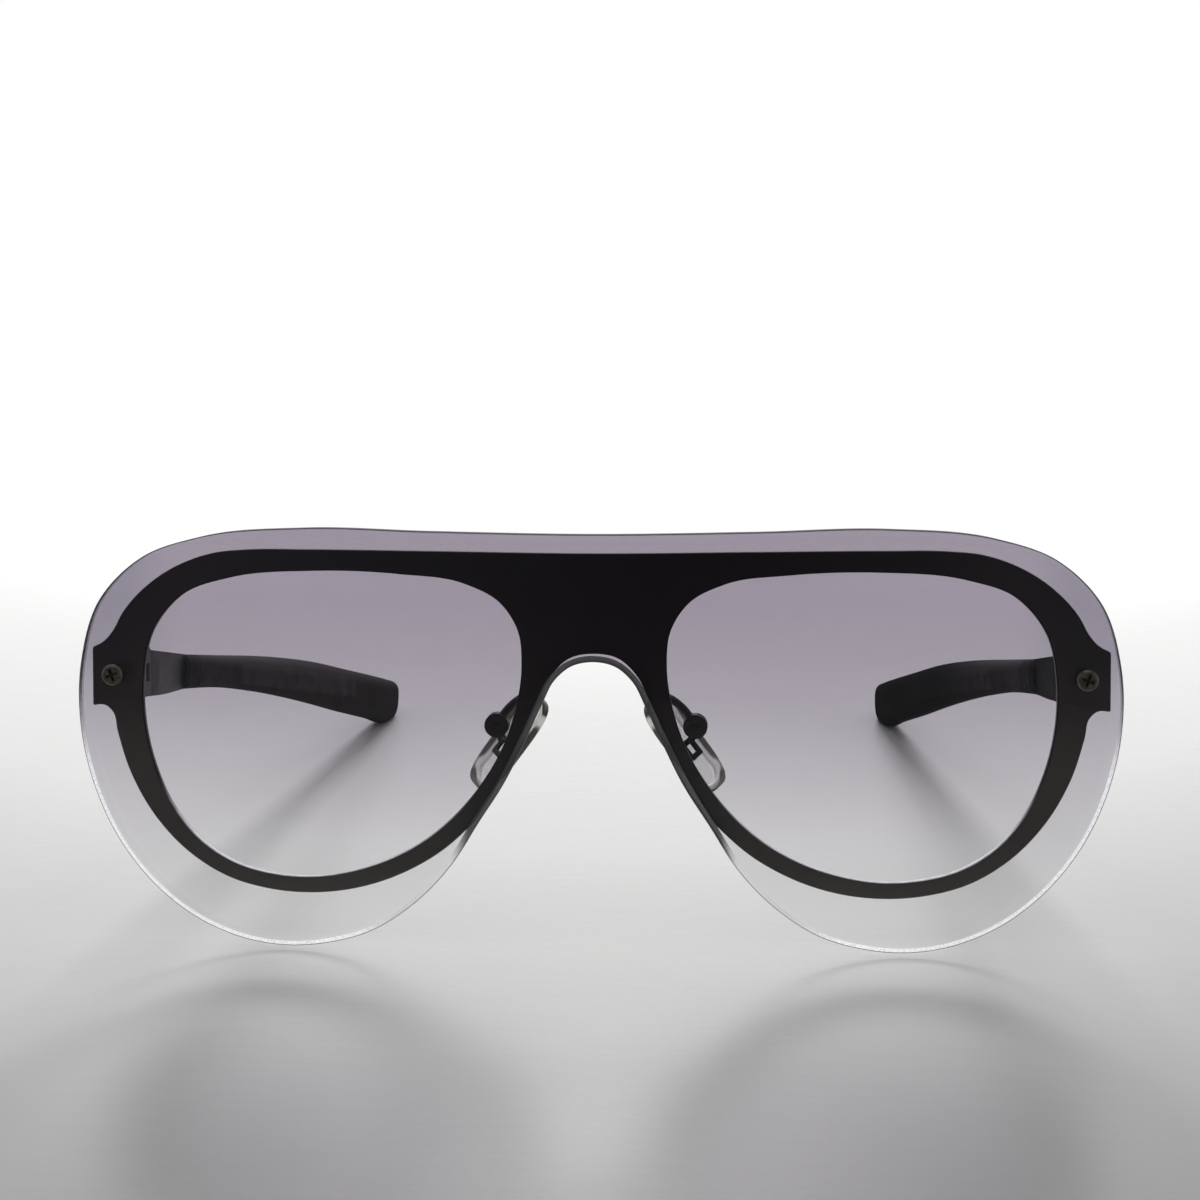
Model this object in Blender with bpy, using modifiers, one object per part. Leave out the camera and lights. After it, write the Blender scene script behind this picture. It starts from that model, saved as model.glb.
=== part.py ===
"""Rimless shield sunglasses: one clear plate across both eyes, with a black plate and the hardware behind it.

Units are metres. +X runs to the right lobe as a viewer in front sees it, +Y runs back along the temples, and
+Z is up. The glasses stand open on a table, on the two lobes of the lens and the two temple tips, at z = 0.
The origin is at the middle of that footprint. Right-hand pieces are modelled, and the left-hand ones are
their twins.
"""

import math

import bmesh
import bpy
import numpy as np
from mathutils import Matrix, Vector

MM = 0.001

# How the glasses stand
FRONT_LEAN = math.radians(6.44)  # the front leans back on the table
TIP_FLAT_DEPTH = 0.12 * MM  # how deep the resting flat under a temple tip is cut

# The lens: a plate on a shallow cylinder, with two lobes and a nose notch
LENS_RADIUS = 920.0 * MM
LENS_THICKNESS = 2.0 * MM
LENS_HALF = [
    (0.0, 58.95), (23.0, 59.3), (41.2, 59.7), (55.9, 58.35), (64.05, 55.55), (70.65, 49.2), (73.45, 40.5),
    (73.75, 31.5), (72.0, 22.95), (68.45, 15.05), (63.15, 8.35), (56.3, 3.3), (48.5, 0.5), (43.2, 0.0),
    (37.5, 0.6), (32.15, 2.15), (25.5, 6.4), (20.3, 11.8), (16.4, 17.9), (12.65, 23.75), (9.8, 29.45),
    (7.2, 35.1), (5.6, 38.25), (3.0, 40.5), (0.0, 41.1),
]

# The black plate behind the lens: top run, tab side, lower run and notch run, each smooth in itself
SEAT_GAP = 0.3 * MM  # clearance between faces that are clamped or seated
PLATE_THICKNESS = 1.0 * MM
PLATE_TOP_HALF = [
    (0.0, 56.15), (23.3, 56.4), (41.2, 56.55), (49.1, 56.5), (54.45, 55.95), (61.7, 53.0), (67.75, 47.4),
    (69.5, 44.4), (70.5, 43.3), (72.35, 42.3),
]
PLATE_LOWER_HALF = [
    (72.45, 33.8), (70.6, 33.9), (69.55, 33.0), (68.9, 30.2), (67.05, 24.2), (63.5, 17.9), (58.65, 12.8),
    (52.85, 9.3), (46.45, 7.6), (40.25, 7.25), (33.8, 8.1), (27.75, 10.15), (22.05, 13.4), (17.05, 17.85),
]
PLATE_NOTCH_HALF = [
    (17.05, 17.85), (13.2, 24.1), (10.35, 29.8), (7.75, 35.45), (6.1, 38.8), (3.3, 41.4), (0.0, 42.0),
]
WINDOW = [
    (10.25, 40.4), (10.8, 45.3), (13.35, 49.2), (18.45, 51.85), (27.4, 53.1), (40.05, 53.5), (52.2, 52.4),
    (58.85, 50.05), (63.4, 44.7), (64.85, 37.85), (64.7, 31.25), (63.3, 25.1), (60.75, 19.4), (56.8, 14.65),
    (51.65, 11.45), (45.9, 9.95), (40.2, 9.7), (34.65, 10.6), (29.3, 12.4), (24.15, 15.25), (19.9, 18.8),
    (15.45, 24.25), (12.6, 29.55), (10.95, 34.85),
]

# The screw that clamps lens and plate to the end piece, in the end frame, where y runs back from the lens
SCREW_INSET = 5.05  # in from the widest point of the lens
SCREW_RISE = 0.6  # above the middle of the tab
SCREW_X = (max(x for x, z in LENS_HALF) - SCREW_INSET) * MM
SCREW_Z = ((PLATE_TOP_HALF[-1][1] + PLATE_LOWER_HALF[0][1]) / 2 + SCREW_RISE) * MM
LENS_SCREW_RADIUS = 0.7 * MM
LENS_SCREW_HEAD_RADIUS = 1.53 * MM
LENS_SCREW_HEAD_HEIGHT = 0.6 * MM
LENS_SCREW_HEAD_GAP = 0.15 * MM
LENS_SCREW_LENGTH = 5.9 * MM
LENS_SCREW_POINT = 0.3 * MM
CROSS_WIDTH = 0.42 * MM
CROSS_SPAN = 1.8 * MM
CROSS_DEPTH = 0.4 * MM
CROSS_TURN = math.radians(20.0)
PIN_CLEARANCE = 0.1 * MM  # radial, a pin or a screw in its hole
BUSH_WALL = 0.35 * MM
BUSH_RECESS = 0.05 * MM  # how far the bush stops short of each outer face

# The end piece, in the end frame
END_PAD_HALF_WIDTH = 3.0 * MM
END_PAD_THICKNESS = 1.3 * MM
END_PIECE_HALF_HEIGHT = 3.5 * MM
END_FLANK_RUN = 0.6 * MM  # how far back the pad slopes before the body, outside
END_INNER_RUN = 0.2 * MM
HINGE_X = -1.4 * MM
HINGE_Y = 8.0 * MM
HINGE_Z = -0.5 * MM
KNUCKLE_RADIUS = 1.35 * MM
MIDDLE_KNUCKLE_HALF_HEIGHT = 1.15 * MM
KNUCKLE_GAP = 0.15 * MM
SWING_GAP = 0.25 * MM  # clearance round what turns on the hinge
HINGE_PIN_RADIUS = 0.45 * MM
HINGE_HEAD_RADIUS = 0.95 * MM
HINGE_HEAD_HEIGHT = 0.5 * MM
DRIVER_SLOT_WIDTH = 0.3 * MM
DRIVER_SLOT_DEPTH = 0.25 * MM
DRIVER_SLOT_TURN = math.radians(35.0)

# The temple, in its own line: s runs from the hinge axis to the tip, z is up from that line
TOE_IN = math.radians(9.5)  # towards the head, in plan
ARM_THICKNESS = 1.4 * MM
ARM_INNER = 1.5 * MM  # the arm's inner face, outboard of the hinge axis
ARM_FRONT = -0.2 * MM
SHOULDER_GAP = 0.3 * MM
SLEEVE_START = 19.5  # in millimetres, like the runs below
SEAM_GAP = 0.3
ARM_END = SLEEVE_START - SEAM_GAP
ARM_TOP = [(5.0, 3.45), (12.0, 3.45), (ARM_END, 3.5)]
ARM_BOTTOM = [(ARM_END, -1.85), (12.0, -2.95), (5.0, -3.6)]
ARM_FRONT_HALF_HEIGHT = 3.5 * MM
TAIL_LINE = [(ARM_END, 0.75), (33.0, 1.42), (50.0, 1.7), (75.0, 1.58), (88.0, 1.15)]
TAIL_HALF_HEIGHT = 1.1 * MM
SOCKET_GAP = 0.3 * MM
SOCKET_LEAD = 2.0  # how far ahead of the arm's end the socket's cutter starts

# The leaf brazed to the arm, with the middle knuckle and two rivet studs
LEAF_THICKNESS = 0.75 * MM
LEAF_LENGTH = 8.0 * MM
LEAF_HALF_HEIGHT = 2.3 * MM
LEAF_NECK_HALF_HEIGHT = 0.75 * MM
LEAF_FLARE_RUN = 0.4 * MM
LEAF_CORNER = 0.6 * MM
STUD_RADIUS = 0.5 * MM
STUD_PLACES = (3.4 * MM, 6.3 * MM)
STUD_PROUD = 0.1 * MM

# The sleeve: height from its top and bottom runs, thickness from its own run
SLEEVE_TOP = [
    (SLEEVE_START, 3.5), (33.0, 4.1), (50.0, 4.9), (75.0, 5.35), (95.0, 4.85), (112.0, 4.35), (119.0, 4.1),
    (124.5, 3.65), (126.6, 3.0), (127.2, 1.7),
]
SLEEVE_BOTTOM = [
    (SLEEVE_START, -1.85), (33.0, -1.05), (50.0, -1.0), (75.0, -1.9), (95.0, -3.1), (112.0, -3.95),
    (118.9, -4.4), (123.0, -3.6), (126.0, -1.6), (127.2, 0.6),
]
SLEEVE_HALF_THICKNESS = [
    (SLEEVE_START, 1.9), (33.0, 2.0), (60.0, 2.15), (95.0, 2.2), (119.0, 2.0), (125.0, 1.5), (127.2, 0.7),
]
SLEEVE_ROUNDNESS = 3.2  # exponent of the superellipse that the sleeve's sections follow
TIP_CONTACT = (118.9, -4.4)
RIB_COUNT = 4
RIB_PITCH = 0.9 * MM
RIB_DEPTH = 0.22 * MM
RIB_LAND = 0.55  # share of the pitch at full height
RIB_FLANK = 0.1  # share of the pitch in each slope
RING_CROWDING = 1.5  # how much closer the sections stand towards the tip

# The nose pads, in the front's frame: the box is the small clevis that carries the pad
PAD_BOX = (14.2, 7.0, 31.2)
PAD_OFFSET = (-1.75, 1.9, -2.9)  # from the box to the middle of the pad
PAD_FLARE = math.radians(36.5)
PAD_SPLAY = math.radians(38.0)
PAD_HALF_LENGTH = 8.0 * MM
PAD_HALF_WIDTH = 3.4 * MM
PAD_ROUNDNESS = 5.0  # exponent of the superellipse that its outline follows
PAD_CROWN = 1.3 * MM
PAD_RIM_HEIGHT = 1.0 * MM
PAD_RIM_WIDTH = 0.75 * MM
PAD_RIM_ROUND = 0.3 * MM
PAD_DISH_SLOPE = 0.4 * MM
PAD_DISH_FLOOR = 0.1 * MM
BOX_RADIUS = 1.75 * MM
BOX_HALF_DEPTH = 1.1 * MM
BOX_SLOT_HALF = 0.5 * MM
BOX_BRIDGE = 1.2 * MM  # the slot stops this far above the screw
PAD_WIRE_RADIUS = 0.62 * MM
PAD_FOOT = (9.3, 35.6)
PAD_WIRE = [  # share of the way from the foot to the box, and how far the wire bows off that line
    (0.0, (0.0, 0.0, 0.0)), (0.1, (-0.4, 1.0, 0.55)), (0.3, (-0.35, 1.55, 1.0)), (0.5, (0.05, 1.55, 0.9)),
    (0.7, (0.05, 1.0, 0.8)), (1.0, (-0.7, 0.0, 1.1)),
]
PAD_FOOT_RADIUS = 1.1 * MM
PAD_FOOT_HEIGHT = 0.6 * MM
PAD_SCREW_RADIUS = 0.35 * MM
PAD_SCREW_HEAD_RADIUS = 0.8 * MM
PAD_SCREW_HEAD_HEIGHT = 0.4 * MM
HEAD_BEVEL = 0.15 * MM
EYE_RADIUS = 0.95 * MM
EYE_HALF_THICKNESS = 0.38 * MM
STEM_RADIUS = 0.36 * MM
STEM_KNEE = (-0.4 * MM, 0.0, -2.15 * MM)  # from the box's screw
STEM_LANDING = 0.4 * MM
LOOP_PLACE = -1.2 * MM  # the loop's middle, along the pad from its centre
LOOP_HALF = (1.5, 1.3)
LOOP_HOLE_HALF = (0.75, 0.7)
LOOP_THICKNESS = 0.55 * MM

# Fineness
OUTLINE_STEPS = 4
SHEET_STRIPS = 16
ROUND_SIDES = 24
SMALL_SIDES = 16
SLEEVE_SIDES = 16
PAD_SIDES = 28
SLEEVE_RINGS = 20


def millimetres(points):
    return np.array(points, float) * MM


def sag(x, radius=LENS_RADIUS):
    """How far back the lens's front face lies at this x."""
    return radius - np.sqrt(radius * radius - np.square(x))


def tangents(points, closed):
    """At each point, the slope of the parabola through it and its neighbours, by chord length."""
    before, after = np.roll(points, 1, 0), np.roll(points, -1, 0)
    back = np.linalg.norm(points - before, axis=1)[:, None]
    ahead = np.linalg.norm(after - points, axis=1)[:, None]
    slope = (ahead * (points - before) / back + back * (after - points) / ahead) / (back + ahead)
    if not closed:
        slope[0] = 1.5 * (points[1] - points[0]) / ahead[0] - 0.5 * slope[1]
        slope[-1] = 1.5 * (points[-1] - points[-2]) / back[-1] - 0.5 * slope[-2]
    return slope


def flow(points, steps=OUTLINE_STEPS, closed=False):
    """A smooth curve through the points, with this many steps from each to the next."""
    points = np.array(points, float)
    slope = tangents(points, closed)
    count = len(points) if closed else len(points) - 1
    t = np.arange(steps)[:, None] / steps
    out = []
    for i in range(count):
        j = (i + 1) % len(points)
        chord = np.linalg.norm(points[j] - points[i])
        out.append(
            (2 * t**3 - 3 * t**2 + 1) * points[i] + (t**3 - 2 * t**2 + t) * chord * slope[i]
            + (3 * t**2 - 2 * t**3) * points[j] + (t**3 - t**2) * chord * slope[j]
        )
    if not closed:
        out.append(points[-1:])
    return np.concatenate(out)


def run(table, s):
    """Value of a run of (s, value) points at s, read from the smooth curve through them."""
    curve = flow(table, 8)
    return np.interp(s, curve[:, 0], curve[:, 1])


def mirrored(points):
    return [(-x, z) for x, z in reversed(points)]


def circle(x, z, radius, sides=ROUND_SIDES):
    turn = np.arange(sides) * 2 * math.pi / sides
    return np.stack([x + radius * np.cos(turn), z + radius * np.sin(turn)], 1)


def lens_outline():
    return flow(millimetres(LENS_HALF + mirrored(LENS_HALF[1:-1])), closed=True)


def plate_outline():
    top = flow(millimetres(mirrored(PLATE_TOP_HALF[1:]) + PLATE_TOP_HALF))
    lower = flow(millimetres(PLATE_LOWER_HALF))[:-1]
    notch = flow(millimetres(PLATE_NOTCH_HALF + mirrored(PLATE_NOTCH_HALF[:-1])))
    return np.concatenate([top, lower, notch, lower[::-1] * (-1, 1)])


def window_outline(side):
    return flow(millimetres(WINDOW), closed=True) * (side, 1)


def screw_holes(back):
    """Holes for the bushes in a sheet that lies this far behind the lens's front face."""
    x = SCREW_X * (LENS_RADIUS - back) / LENS_RADIUS
    return [circle(side * x, SCREW_Z, BUSH_RADIUS + PIN_CLEARANCE) for side in (1, -1)]


# Scene helpers


def clear_scene():
    for obj in list(bpy.data.objects):
        bpy.data.objects.remove(obj, do_unlink=True)


def collection(name):
    made = bpy.data.collections.new(name)
    bpy.context.scene.collection.children.link(made)
    return made


def material(name, colour, roughness, metallic=0.0, alpha=1.0):
    made = bpy.data.materials.new(name)
    made.use_nodes = True
    shader = made.node_tree.nodes["Principled BSDF"]
    shader.inputs["Base Color"].default_value = (*colour, 1.0)
    shader.inputs["Roughness"].default_value = roughness
    shader.inputs["Metallic"].default_value = metallic
    shader.inputs["Alpha"].default_value = alpha
    return made


def empty(name, parent=None, location=(0, 0, 0), rotation=(0, 0, 0), order="XYZ"):
    made = bpy.data.objects.new(name, None)
    made.empty_display_size = 5 * MM
    made.parent = parent
    made.location = location
    made.rotation_mode = order
    made.rotation_euler = rotation
    PARTS.objects.link(made)
    return made


def add_object(name, mesh, parent, finish=None, group=None):
    made = bpy.data.objects.new(name, mesh)
    made.parent = parent
    (group or PARTS).objects.link(made)
    if finish:
        mesh.materials.clear()
        mesh.materials.append(finish)
    return made


def as_cutter(obj):
    """Keeps a helper for a Boolean out of renders and out of the part."""
    obj.hide_render = True
    obj.display_type = "WIRE"
    for group in list(obj.users_collection):
        group.objects.unlink(obj)
    CUTTERS.objects.link(obj)
    return obj


def combine(obj, other, operation):
    modifier = obj.modifiers.new(f"{operation.lower()} {other.name}", "BOOLEAN")
    modifier.operation = operation
    modifier.solver = "EXACT"
    modifier.object = as_cutter(other)


def mesh_from(name, bm):
    bmesh.ops.recalc_face_normals(bm, faces=bm.faces)
    mesh = bpy.data.meshes.new(name)
    bm.to_mesh(mesh)
    bm.free()
    return mesh


def filled_outline(name, loops, half_depth=0.0):
    """Mesh of a flat outline with its holes in the XY plane, thickened by half_depth to each side."""
    curve = bpy.data.curves.new(name, "CURVE")
    curve.dimensions = "2D"
    curve.fill_mode = "BOTH"
    curve.extrude = half_depth
    for loop in loops:
        spline = curve.splines.new("POLY")
        spline.points.add(len(loop) - 1)
        for point, (x, y) in zip(spline.points, loop):
            point.co = (x, y, 0, 1)
        spline.use_cyclic_u = True
    guide = bpy.data.objects.new(name, curve)
    bpy.context.scene.collection.objects.link(guide)
    mesh = bpy.data.meshes.new_from_object(guide.evaluated_get(bpy.context.evaluated_depsgraph_get()))
    bpy.data.objects.remove(guide, do_unlink=True)
    bpy.data.curves.remove(curve)
    bm = bmesh.new()
    bm.from_mesh(mesh)
    bpy.data.meshes.remove(mesh)
    bmesh.ops.remove_doubles(bm, verts=bm.verts, dist=1e-7)
    return bm


def extruded(name, loops, half_depth, parent, turn, finish=None):
    """A flat outline with thickness, turned out of the XY plane by a matrix."""
    bm = filled_outline(name, loops, half_depth)
    bmesh.ops.transform(bm, matrix=turn, verts=bm.verts)
    return add_object(name, mesh_from(name, bm), parent, finish)


def tube(name, points, radius, parent, finish=None):
    """A round wire with filled caps along a smooth route."""
    curve = bpy.data.curves.new(name, "CURVE")
    curve.dimensions = "3D"
    curve.bevel_depth = radius
    curve.bevel_resolution = 2
    curve.use_fill_caps = True
    spline = curve.splines.new("POLY")
    spline.points.add(len(points) - 1)
    for point, place in zip(spline.points, points):
        point.co = (*place, 1)
    guide = bpy.data.objects.new(name, curve)
    bpy.context.scene.collection.objects.link(guide)
    mesh = bpy.data.meshes.new_from_object(guide.evaluated_get(bpy.context.evaluated_depsgraph_get()))
    bpy.data.objects.remove(guide, do_unlink=True)
    bpy.data.curves.remove(curve)
    bm = bmesh.new()
    bm.from_mesh(mesh)
    bpy.data.meshes.remove(mesh)
    bmesh.ops.remove_doubles(bm, verts=bm.verts, dist=1e-7)
    return add_object(name, mesh_from(name, bm), parent, finish)


def rod(name, radius, low, high, parent, turn=None, place=(0, 0, 0), sides=ROUND_SIDES):
    """A closed cylinder from low to high along Z, then turned and placed."""
    bm = bmesh.new()
    bmesh.ops.create_cone(
        bm, cap_ends=True, cap_tris=False, segments=sides, radius1=radius, radius2=radius, depth=high - low
    )
    bmesh.ops.translate(bm, verts=bm.verts, vec=(0, 0, (low + high) / 2))
    bmesh.ops.transform(bm, matrix=Matrix.Translation(place) @ (turn or Matrix()), verts=bm.verts)
    return add_object(name, mesh_from(name, bm), parent)


def block(name, low, high, parent):
    """A box between two corners."""
    bm = bmesh.new()
    bmesh.ops.create_cube(bm, size=1.0)
    low, high = Vector(low), Vector(high)
    scale = Matrix.Diagonal((*(high - low), 1.0))
    bmesh.ops.transform(bm, matrix=Matrix.Translation((low + high) / 2) @ scale, verts=bm.verts)
    return add_object(name, mesh_from(name, bm), parent)


def turned(name, profile, parent, finish, turn, sides=ROUND_SIDES):
    """A profile of (radius, height), top to bottom, turned about Z and then laid along its axis."""
    mesh = bpy.data.meshes.new(name)
    points = [(radius, 0.0, height) for radius, height in profile]
    mesh.from_pydata(points, [(i, i + 1) for i in range(len(points) - 1)], [])
    obj = add_object(name, mesh, parent, finish)
    obj.rotation_euler = turn
    screw = obj.modifiers.new("turn", "SCREW")
    screw.steps = screw.render_steps = sides
    screw.use_merge_vertices = True
    screw.merge_threshold = 1e-6
    return obj


def loft(name, rings, parent, finish):
    """A closed body through rings of equal counts, with a fan of faces over each end."""
    bm = bmesh.new()
    rows = [[bm.verts.new(point) for point in ring] for ring in rings]
    count = len(rows[0])
    for lower, upper in zip(rows, rows[1:]):
        for i in range(count):
            j = (i + 1) % count
            bm.faces.new((lower[i], lower[j], upper[j], upper[i]))
    for row in (rows[0], rows[-1]):
        middle = bm.verts.new(sum((vert.co for vert in row), Vector()) / count)
        for i in range(count):
            bm.faces.new((row[i], row[(i + 1) % count], middle))
    return add_object(name, mesh_from(name, bm), parent, finish)


def cut_in_strips(bm, stations):
    """Cuts a flat outline along lines of constant x, with one face for each piece between two lines."""
    for x in stations:
        everything = bm.verts[:] + bm.edges[:] + bm.faces[:]
        bmesh.ops.bisect_plane(bm, geom=everything, dist=1e-7, plane_co=(x, 0, 0), plane_no=(1, 0, 0))
    spare = [
        edge for edge in bm.edges
        if not edge.is_boundary and abs(edge.verts[0].co.x - edge.verts[1].co.x) > 1e-6
    ]
    bmesh.ops.dissolve_edges(bm, edges=spare, use_verts=False)
    inside = [vert for vert in bm.verts if not vert.is_boundary and len(vert.link_edges) == 2]
    bmesh.ops.dissolve_verts(bm, verts=inside)


def sheet(name, loops, back, thickness, finish):
    """A plate on the lens's cylinder: a flat outline cut in strips, bent, and thickened towards the back."""
    bm = filled_outline(name, loops)
    shrink = (LENS_RADIUS - back) / LENS_RADIUS
    cut_in_strips(bm, np.linspace(-SCREW_X, SCREW_X, SHEET_STRIPS + 1) * shrink)
    for vert in bm.verts:
        vert.co = (vert.co.x, back + sag(vert.co.x, LENS_RADIUS - back), vert.co.y)
    bmesh.ops.recalc_face_normals(bm, faces=bm.faces)
    if sum(face.normal.y for face in bm.faces) > 0:
        bmesh.ops.reverse_faces(bm, faces=bm.faces)
    mesh = bpy.data.meshes.new(name)
    bm.to_mesh(mesh)
    bm.free()
    obj = add_object(name, mesh, FRONT, finish)
    wall = obj.modifiers.new("wall", "SOLIDIFY")
    wall.thickness = thickness
    wall.offset = -1.0
    wall.use_even_offset = True
    return obj


def superellipse(sides, exponent):
    """Points round a superellipse of unit half-axes: cos t and sin t, each to the power 2 / exponent."""
    turn = np.arange(sides) * 2 * math.pi / sides
    x, y = np.cos(turn), np.sin(turn)
    power = 2 / exponent
    return np.stack([np.sign(x) * np.abs(x) ** power, np.sign(y) * np.abs(y) ** power], 1)


# Frames


def front_lift():
    """Height of the front's frame at which the lens's lowest edge touches the table."""
    outline = lens_outline()
    x, z = outline[:, 0], outline[:, 1]
    y = sag(x) + LENS_THICKNESS
    return -float(np.min(z * math.cos(FRONT_LEAN) - y * math.sin(FRONT_LEAN)))


def side_frames(side):
    """One side's frames: the end at the lens screw, the hinge's pivot, the temple's line, the pad's two."""
    name = "right" if side > 0 else "left"
    turn = side * math.asin(SCREW_X / LENS_RADIUS)
    end = empty(f"end_frame_{name}", FRONT, (side * SCREW_X, float(sag(SCREW_X)), SCREW_Z), (0, 0, turn))
    pivot = empty(f"temple_pivot_{name}", end, (side * HINGE_X, HINGE_Y, HINGE_Z))
    line = empty(f"temple_line_{name}", pivot, (0, 0, 0), (-TEMPLE_PITCH, 0, side * TOE_IN - turn))
    x, y, z = np.array(PAD_BOX) * MM
    box = empty(f"pad_pivot_{name}", FRONT, (side * x, y, z))
    offset = np.array(PAD_OFFSET) * MM * (side, 1, 1)
    pad = empty(f"pad_frame_{name}", box, offset, (0, -side * PAD_FLARE, -side * PAD_SPLAY), "ZYX")
    return {"end": end, "pivot": pivot, "line": line, "box": box, "pad": pad}


def pitch_to_table():
    """Pitch of the temple's line, in the hinge's frame, at which the tip's underside reaches the table."""
    turn = math.asin(SCREW_X / LENS_RADIUS)
    end = Matrix.Translation((SCREW_X, float(sag(SCREW_X)), SCREW_Z)) @ Matrix.Rotation(turn, 4, "Z")
    pivot = FRONT.matrix_basis @ end @ Matrix.Translation((HINGE_X, HINGE_Y, HINGE_Z))
    tip = Vector((ARM_INNER + ARM_THICKNESS / 2, TIP_CONTACT[0] * MM, TIP_CONTACT[1] * MM))
    pitch = 0.1
    for _ in range(6):
        line = pivot @ Matrix.Rotation(TOE_IN - turn, 4, "Z") @ Matrix.Rotation(-pitch, 4, "X")
        pitch += ((line @ tip).z + TIP_FLAT_DEPTH) / (TIP_CONTACT[0] * MM)
    return pitch


# Pieces of the front


def build_lens():
    sheet("shield_lens", [lens_outline(), *screw_holes(0.0)], 0.0, LENS_THICKNESS, FINISH["lens"])


def build_plate():
    back = LENS_THICKNESS + SEAT_GAP
    loops = [plate_outline(), window_outline(1), window_outline(-1), *screw_holes(back)]
    sheet("front_plate", loops, back, PLATE_THICKNESS, FINISH["plate"])


def build_lens_screw(frames):
    """Pan head with a cross recess, in front of the lens, and a plain shank into the end piece."""
    radius, height = LENS_SCREW_HEAD_RADIUS, LENS_SCREW_HEAD_HEIGHT
    profile = [
        (0.0, height), (0.45 * radius, 0.96 * height), (0.8 * radius, 0.78 * height), (radius, 0.4 * height),
        (radius, 0.0), (LENS_SCREW_RADIUS, 0.0), (LENS_SCREW_RADIUS, LENS_SCREW_POINT - LENS_SCREW_LENGTH),
        (LENS_SCREW_RADIUS - LENS_SCREW_POINT, -LENS_SCREW_LENGTH), (0.0, -LENS_SCREW_LENGTH),
    ]
    screw = turned("lens_screw_right", profile, frames["end"], FINISH["screw"], (math.pi / 2, 0, 0))
    screw.location.y = -LENS_SCREW_HEAD_GAP
    front = -LENS_SCREW_HEAD_GAP - height
    long, short = CROSS_SPAN / 2, CROSS_WIDTH / 2
    for name, x, z in (("cross_a", long, short), ("cross_b", short, long)):
        slot = block(f"lens_screw_{name}", (-x, front - MM, -z), (x, front + CROSS_DEPTH, z), frames["end"])
        slot.rotation_euler.y = CROSS_TURN
        combine(screw, slot, "DIFFERENCE")


def build_lens_bush(frames):
    """A nylon tube that keeps the screw off the lens."""
    inner = LENS_SCREW_RADIUS + PIN_CLEARANCE
    stack = LENS_THICKNESS + SEAT_GAP + PLATE_THICKNESS
    loops = [circle(0, 0, BUSH_RADIUS), circle(0, 0, inner)]
    turn = Matrix.Translation((0, stack / 2, 0)) @ Matrix.Rotation(math.pi / 2, 4, "X")
    extruded("lens_bush_right", loops, stack / 2 - BUSH_RECESS, frames["end"], turn, FINISH["nylon"])


def build_end_piece(frames):
    """Bracket behind the tab: a pad, a shoulder that the temple butts on, and two knuckles round a slot."""
    front = LENS_THICKNESS + 2 * SEAT_GAP + PLATE_THICKNESS
    back = front + END_PAD_THICKNESS
    outer = HINGE_X + ARM_INNER + ARM_THICKNESS
    inner = HINGE_X - KNUCKLE_RADIUS
    shoulder = HINGE_Y + ARM_FRONT - SHOULDER_GAP
    start = math.asin((shoulder - HINGE_Y) / KNUCKLE_RADIUS)
    turn = np.linspace(start, math.pi, 12)
    barrel = np.stack([HINGE_X + KNUCKLE_RADIUS * np.cos(turn), HINGE_Y + KNUCKLE_RADIUS * np.sin(turn)], 1)
    outline = np.array(
        [(-END_PAD_HALF_WIDTH, front), (END_PAD_HALF_WIDTH, front), (END_PAD_HALF_WIDTH, back),
         (outer, back + END_FLANK_RUN), (outer, shoulder), *barrel, (inner, back + END_INNER_RUN),
         (-END_PAD_HALF_WIDTH, back)]
    )
    drop = Matrix.Translation((0, 0, HINGE_Z))
    tall = END_PIECE_HALF_HEIGHT
    piece = extruded("end_piece_right", [outline], tall, frames["end"], drop, FINISH["metal"])
    half = MIDDLE_KNUCKLE_HALF_HEIGHT + KNUCKLE_GAP
    reach = KNUCKLE_RADIUS + SWING_GAP
    slot = block("knuckle_slot", (-3 * MM, -reach, -half), (reach, 3 * MM, half), frames["pivot"])
    combine(piece, slot, "DIFFERENCE")
    pin_hole = rod("hinge_hole", HINGE_PIN_RADIUS + PIN_CLEARANCE, -2 * tall, 2 * tall, frames["pivot"])
    combine(piece, pin_hole, "DIFFERENCE")
    depth = LENS_SCREW_LENGTH - LENS_SCREW_HEAD_GAP + SEAT_GAP
    bore = rod("lens_screw_bore", LENS_SCREW_RADIUS + PIN_CLEARANCE, 0, depth, frames["end"],
               Matrix.Rotation(-math.pi / 2, 4, "X"))
    combine(piece, bore, "DIFFERENCE")


def build_hinge_screw(frames):
    """Slotted screw down through the three knuckles, its head on the top one."""
    top = END_PIECE_HALF_HEIGHT + KNUCKLE_GAP + HINGE_HEAD_HEIGHT
    base = top - HINGE_HEAD_HEIGHT
    radius = HINGE_HEAD_RADIUS
    profile = [
        (0.0, top), (radius - HEAD_BEVEL, top), (radius, top - HEAD_BEVEL), (radius, base),
        (HINGE_PIN_RADIUS, base), (HINGE_PIN_RADIUS, -END_PIECE_HALF_HEIGHT), (0.0, -END_PIECE_HALF_HEIGHT),
    ]
    screw = turned("hinge_screw_right", profile, frames["pivot"], FINISH["screw"], (0, 0, 0), SMALL_SIDES)
    half = DRIVER_SLOT_WIDTH / 2
    low, high = (-2 * radius, -half, top - DRIVER_SLOT_DEPTH), (2 * radius, half, top + MM)
    slot = block("hinge_screw_slot", low, high, frames["pivot"])
    slot.rotation_euler.z = DRIVER_SLOT_TURN
    combine(screw, slot, "DIFFERENCE")


# Pieces of a temple


def side_view(points, centre):
    """Turns a flat outline of (s, z) to stand along the temple, centred at this x."""
    to_side = Matrix(((0, 0, 1, centre), (1, 0, 0, 0), (0, 1, 0, 0), (0, 0, 0, 1)))
    return to_side, np.array(points, float)


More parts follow.
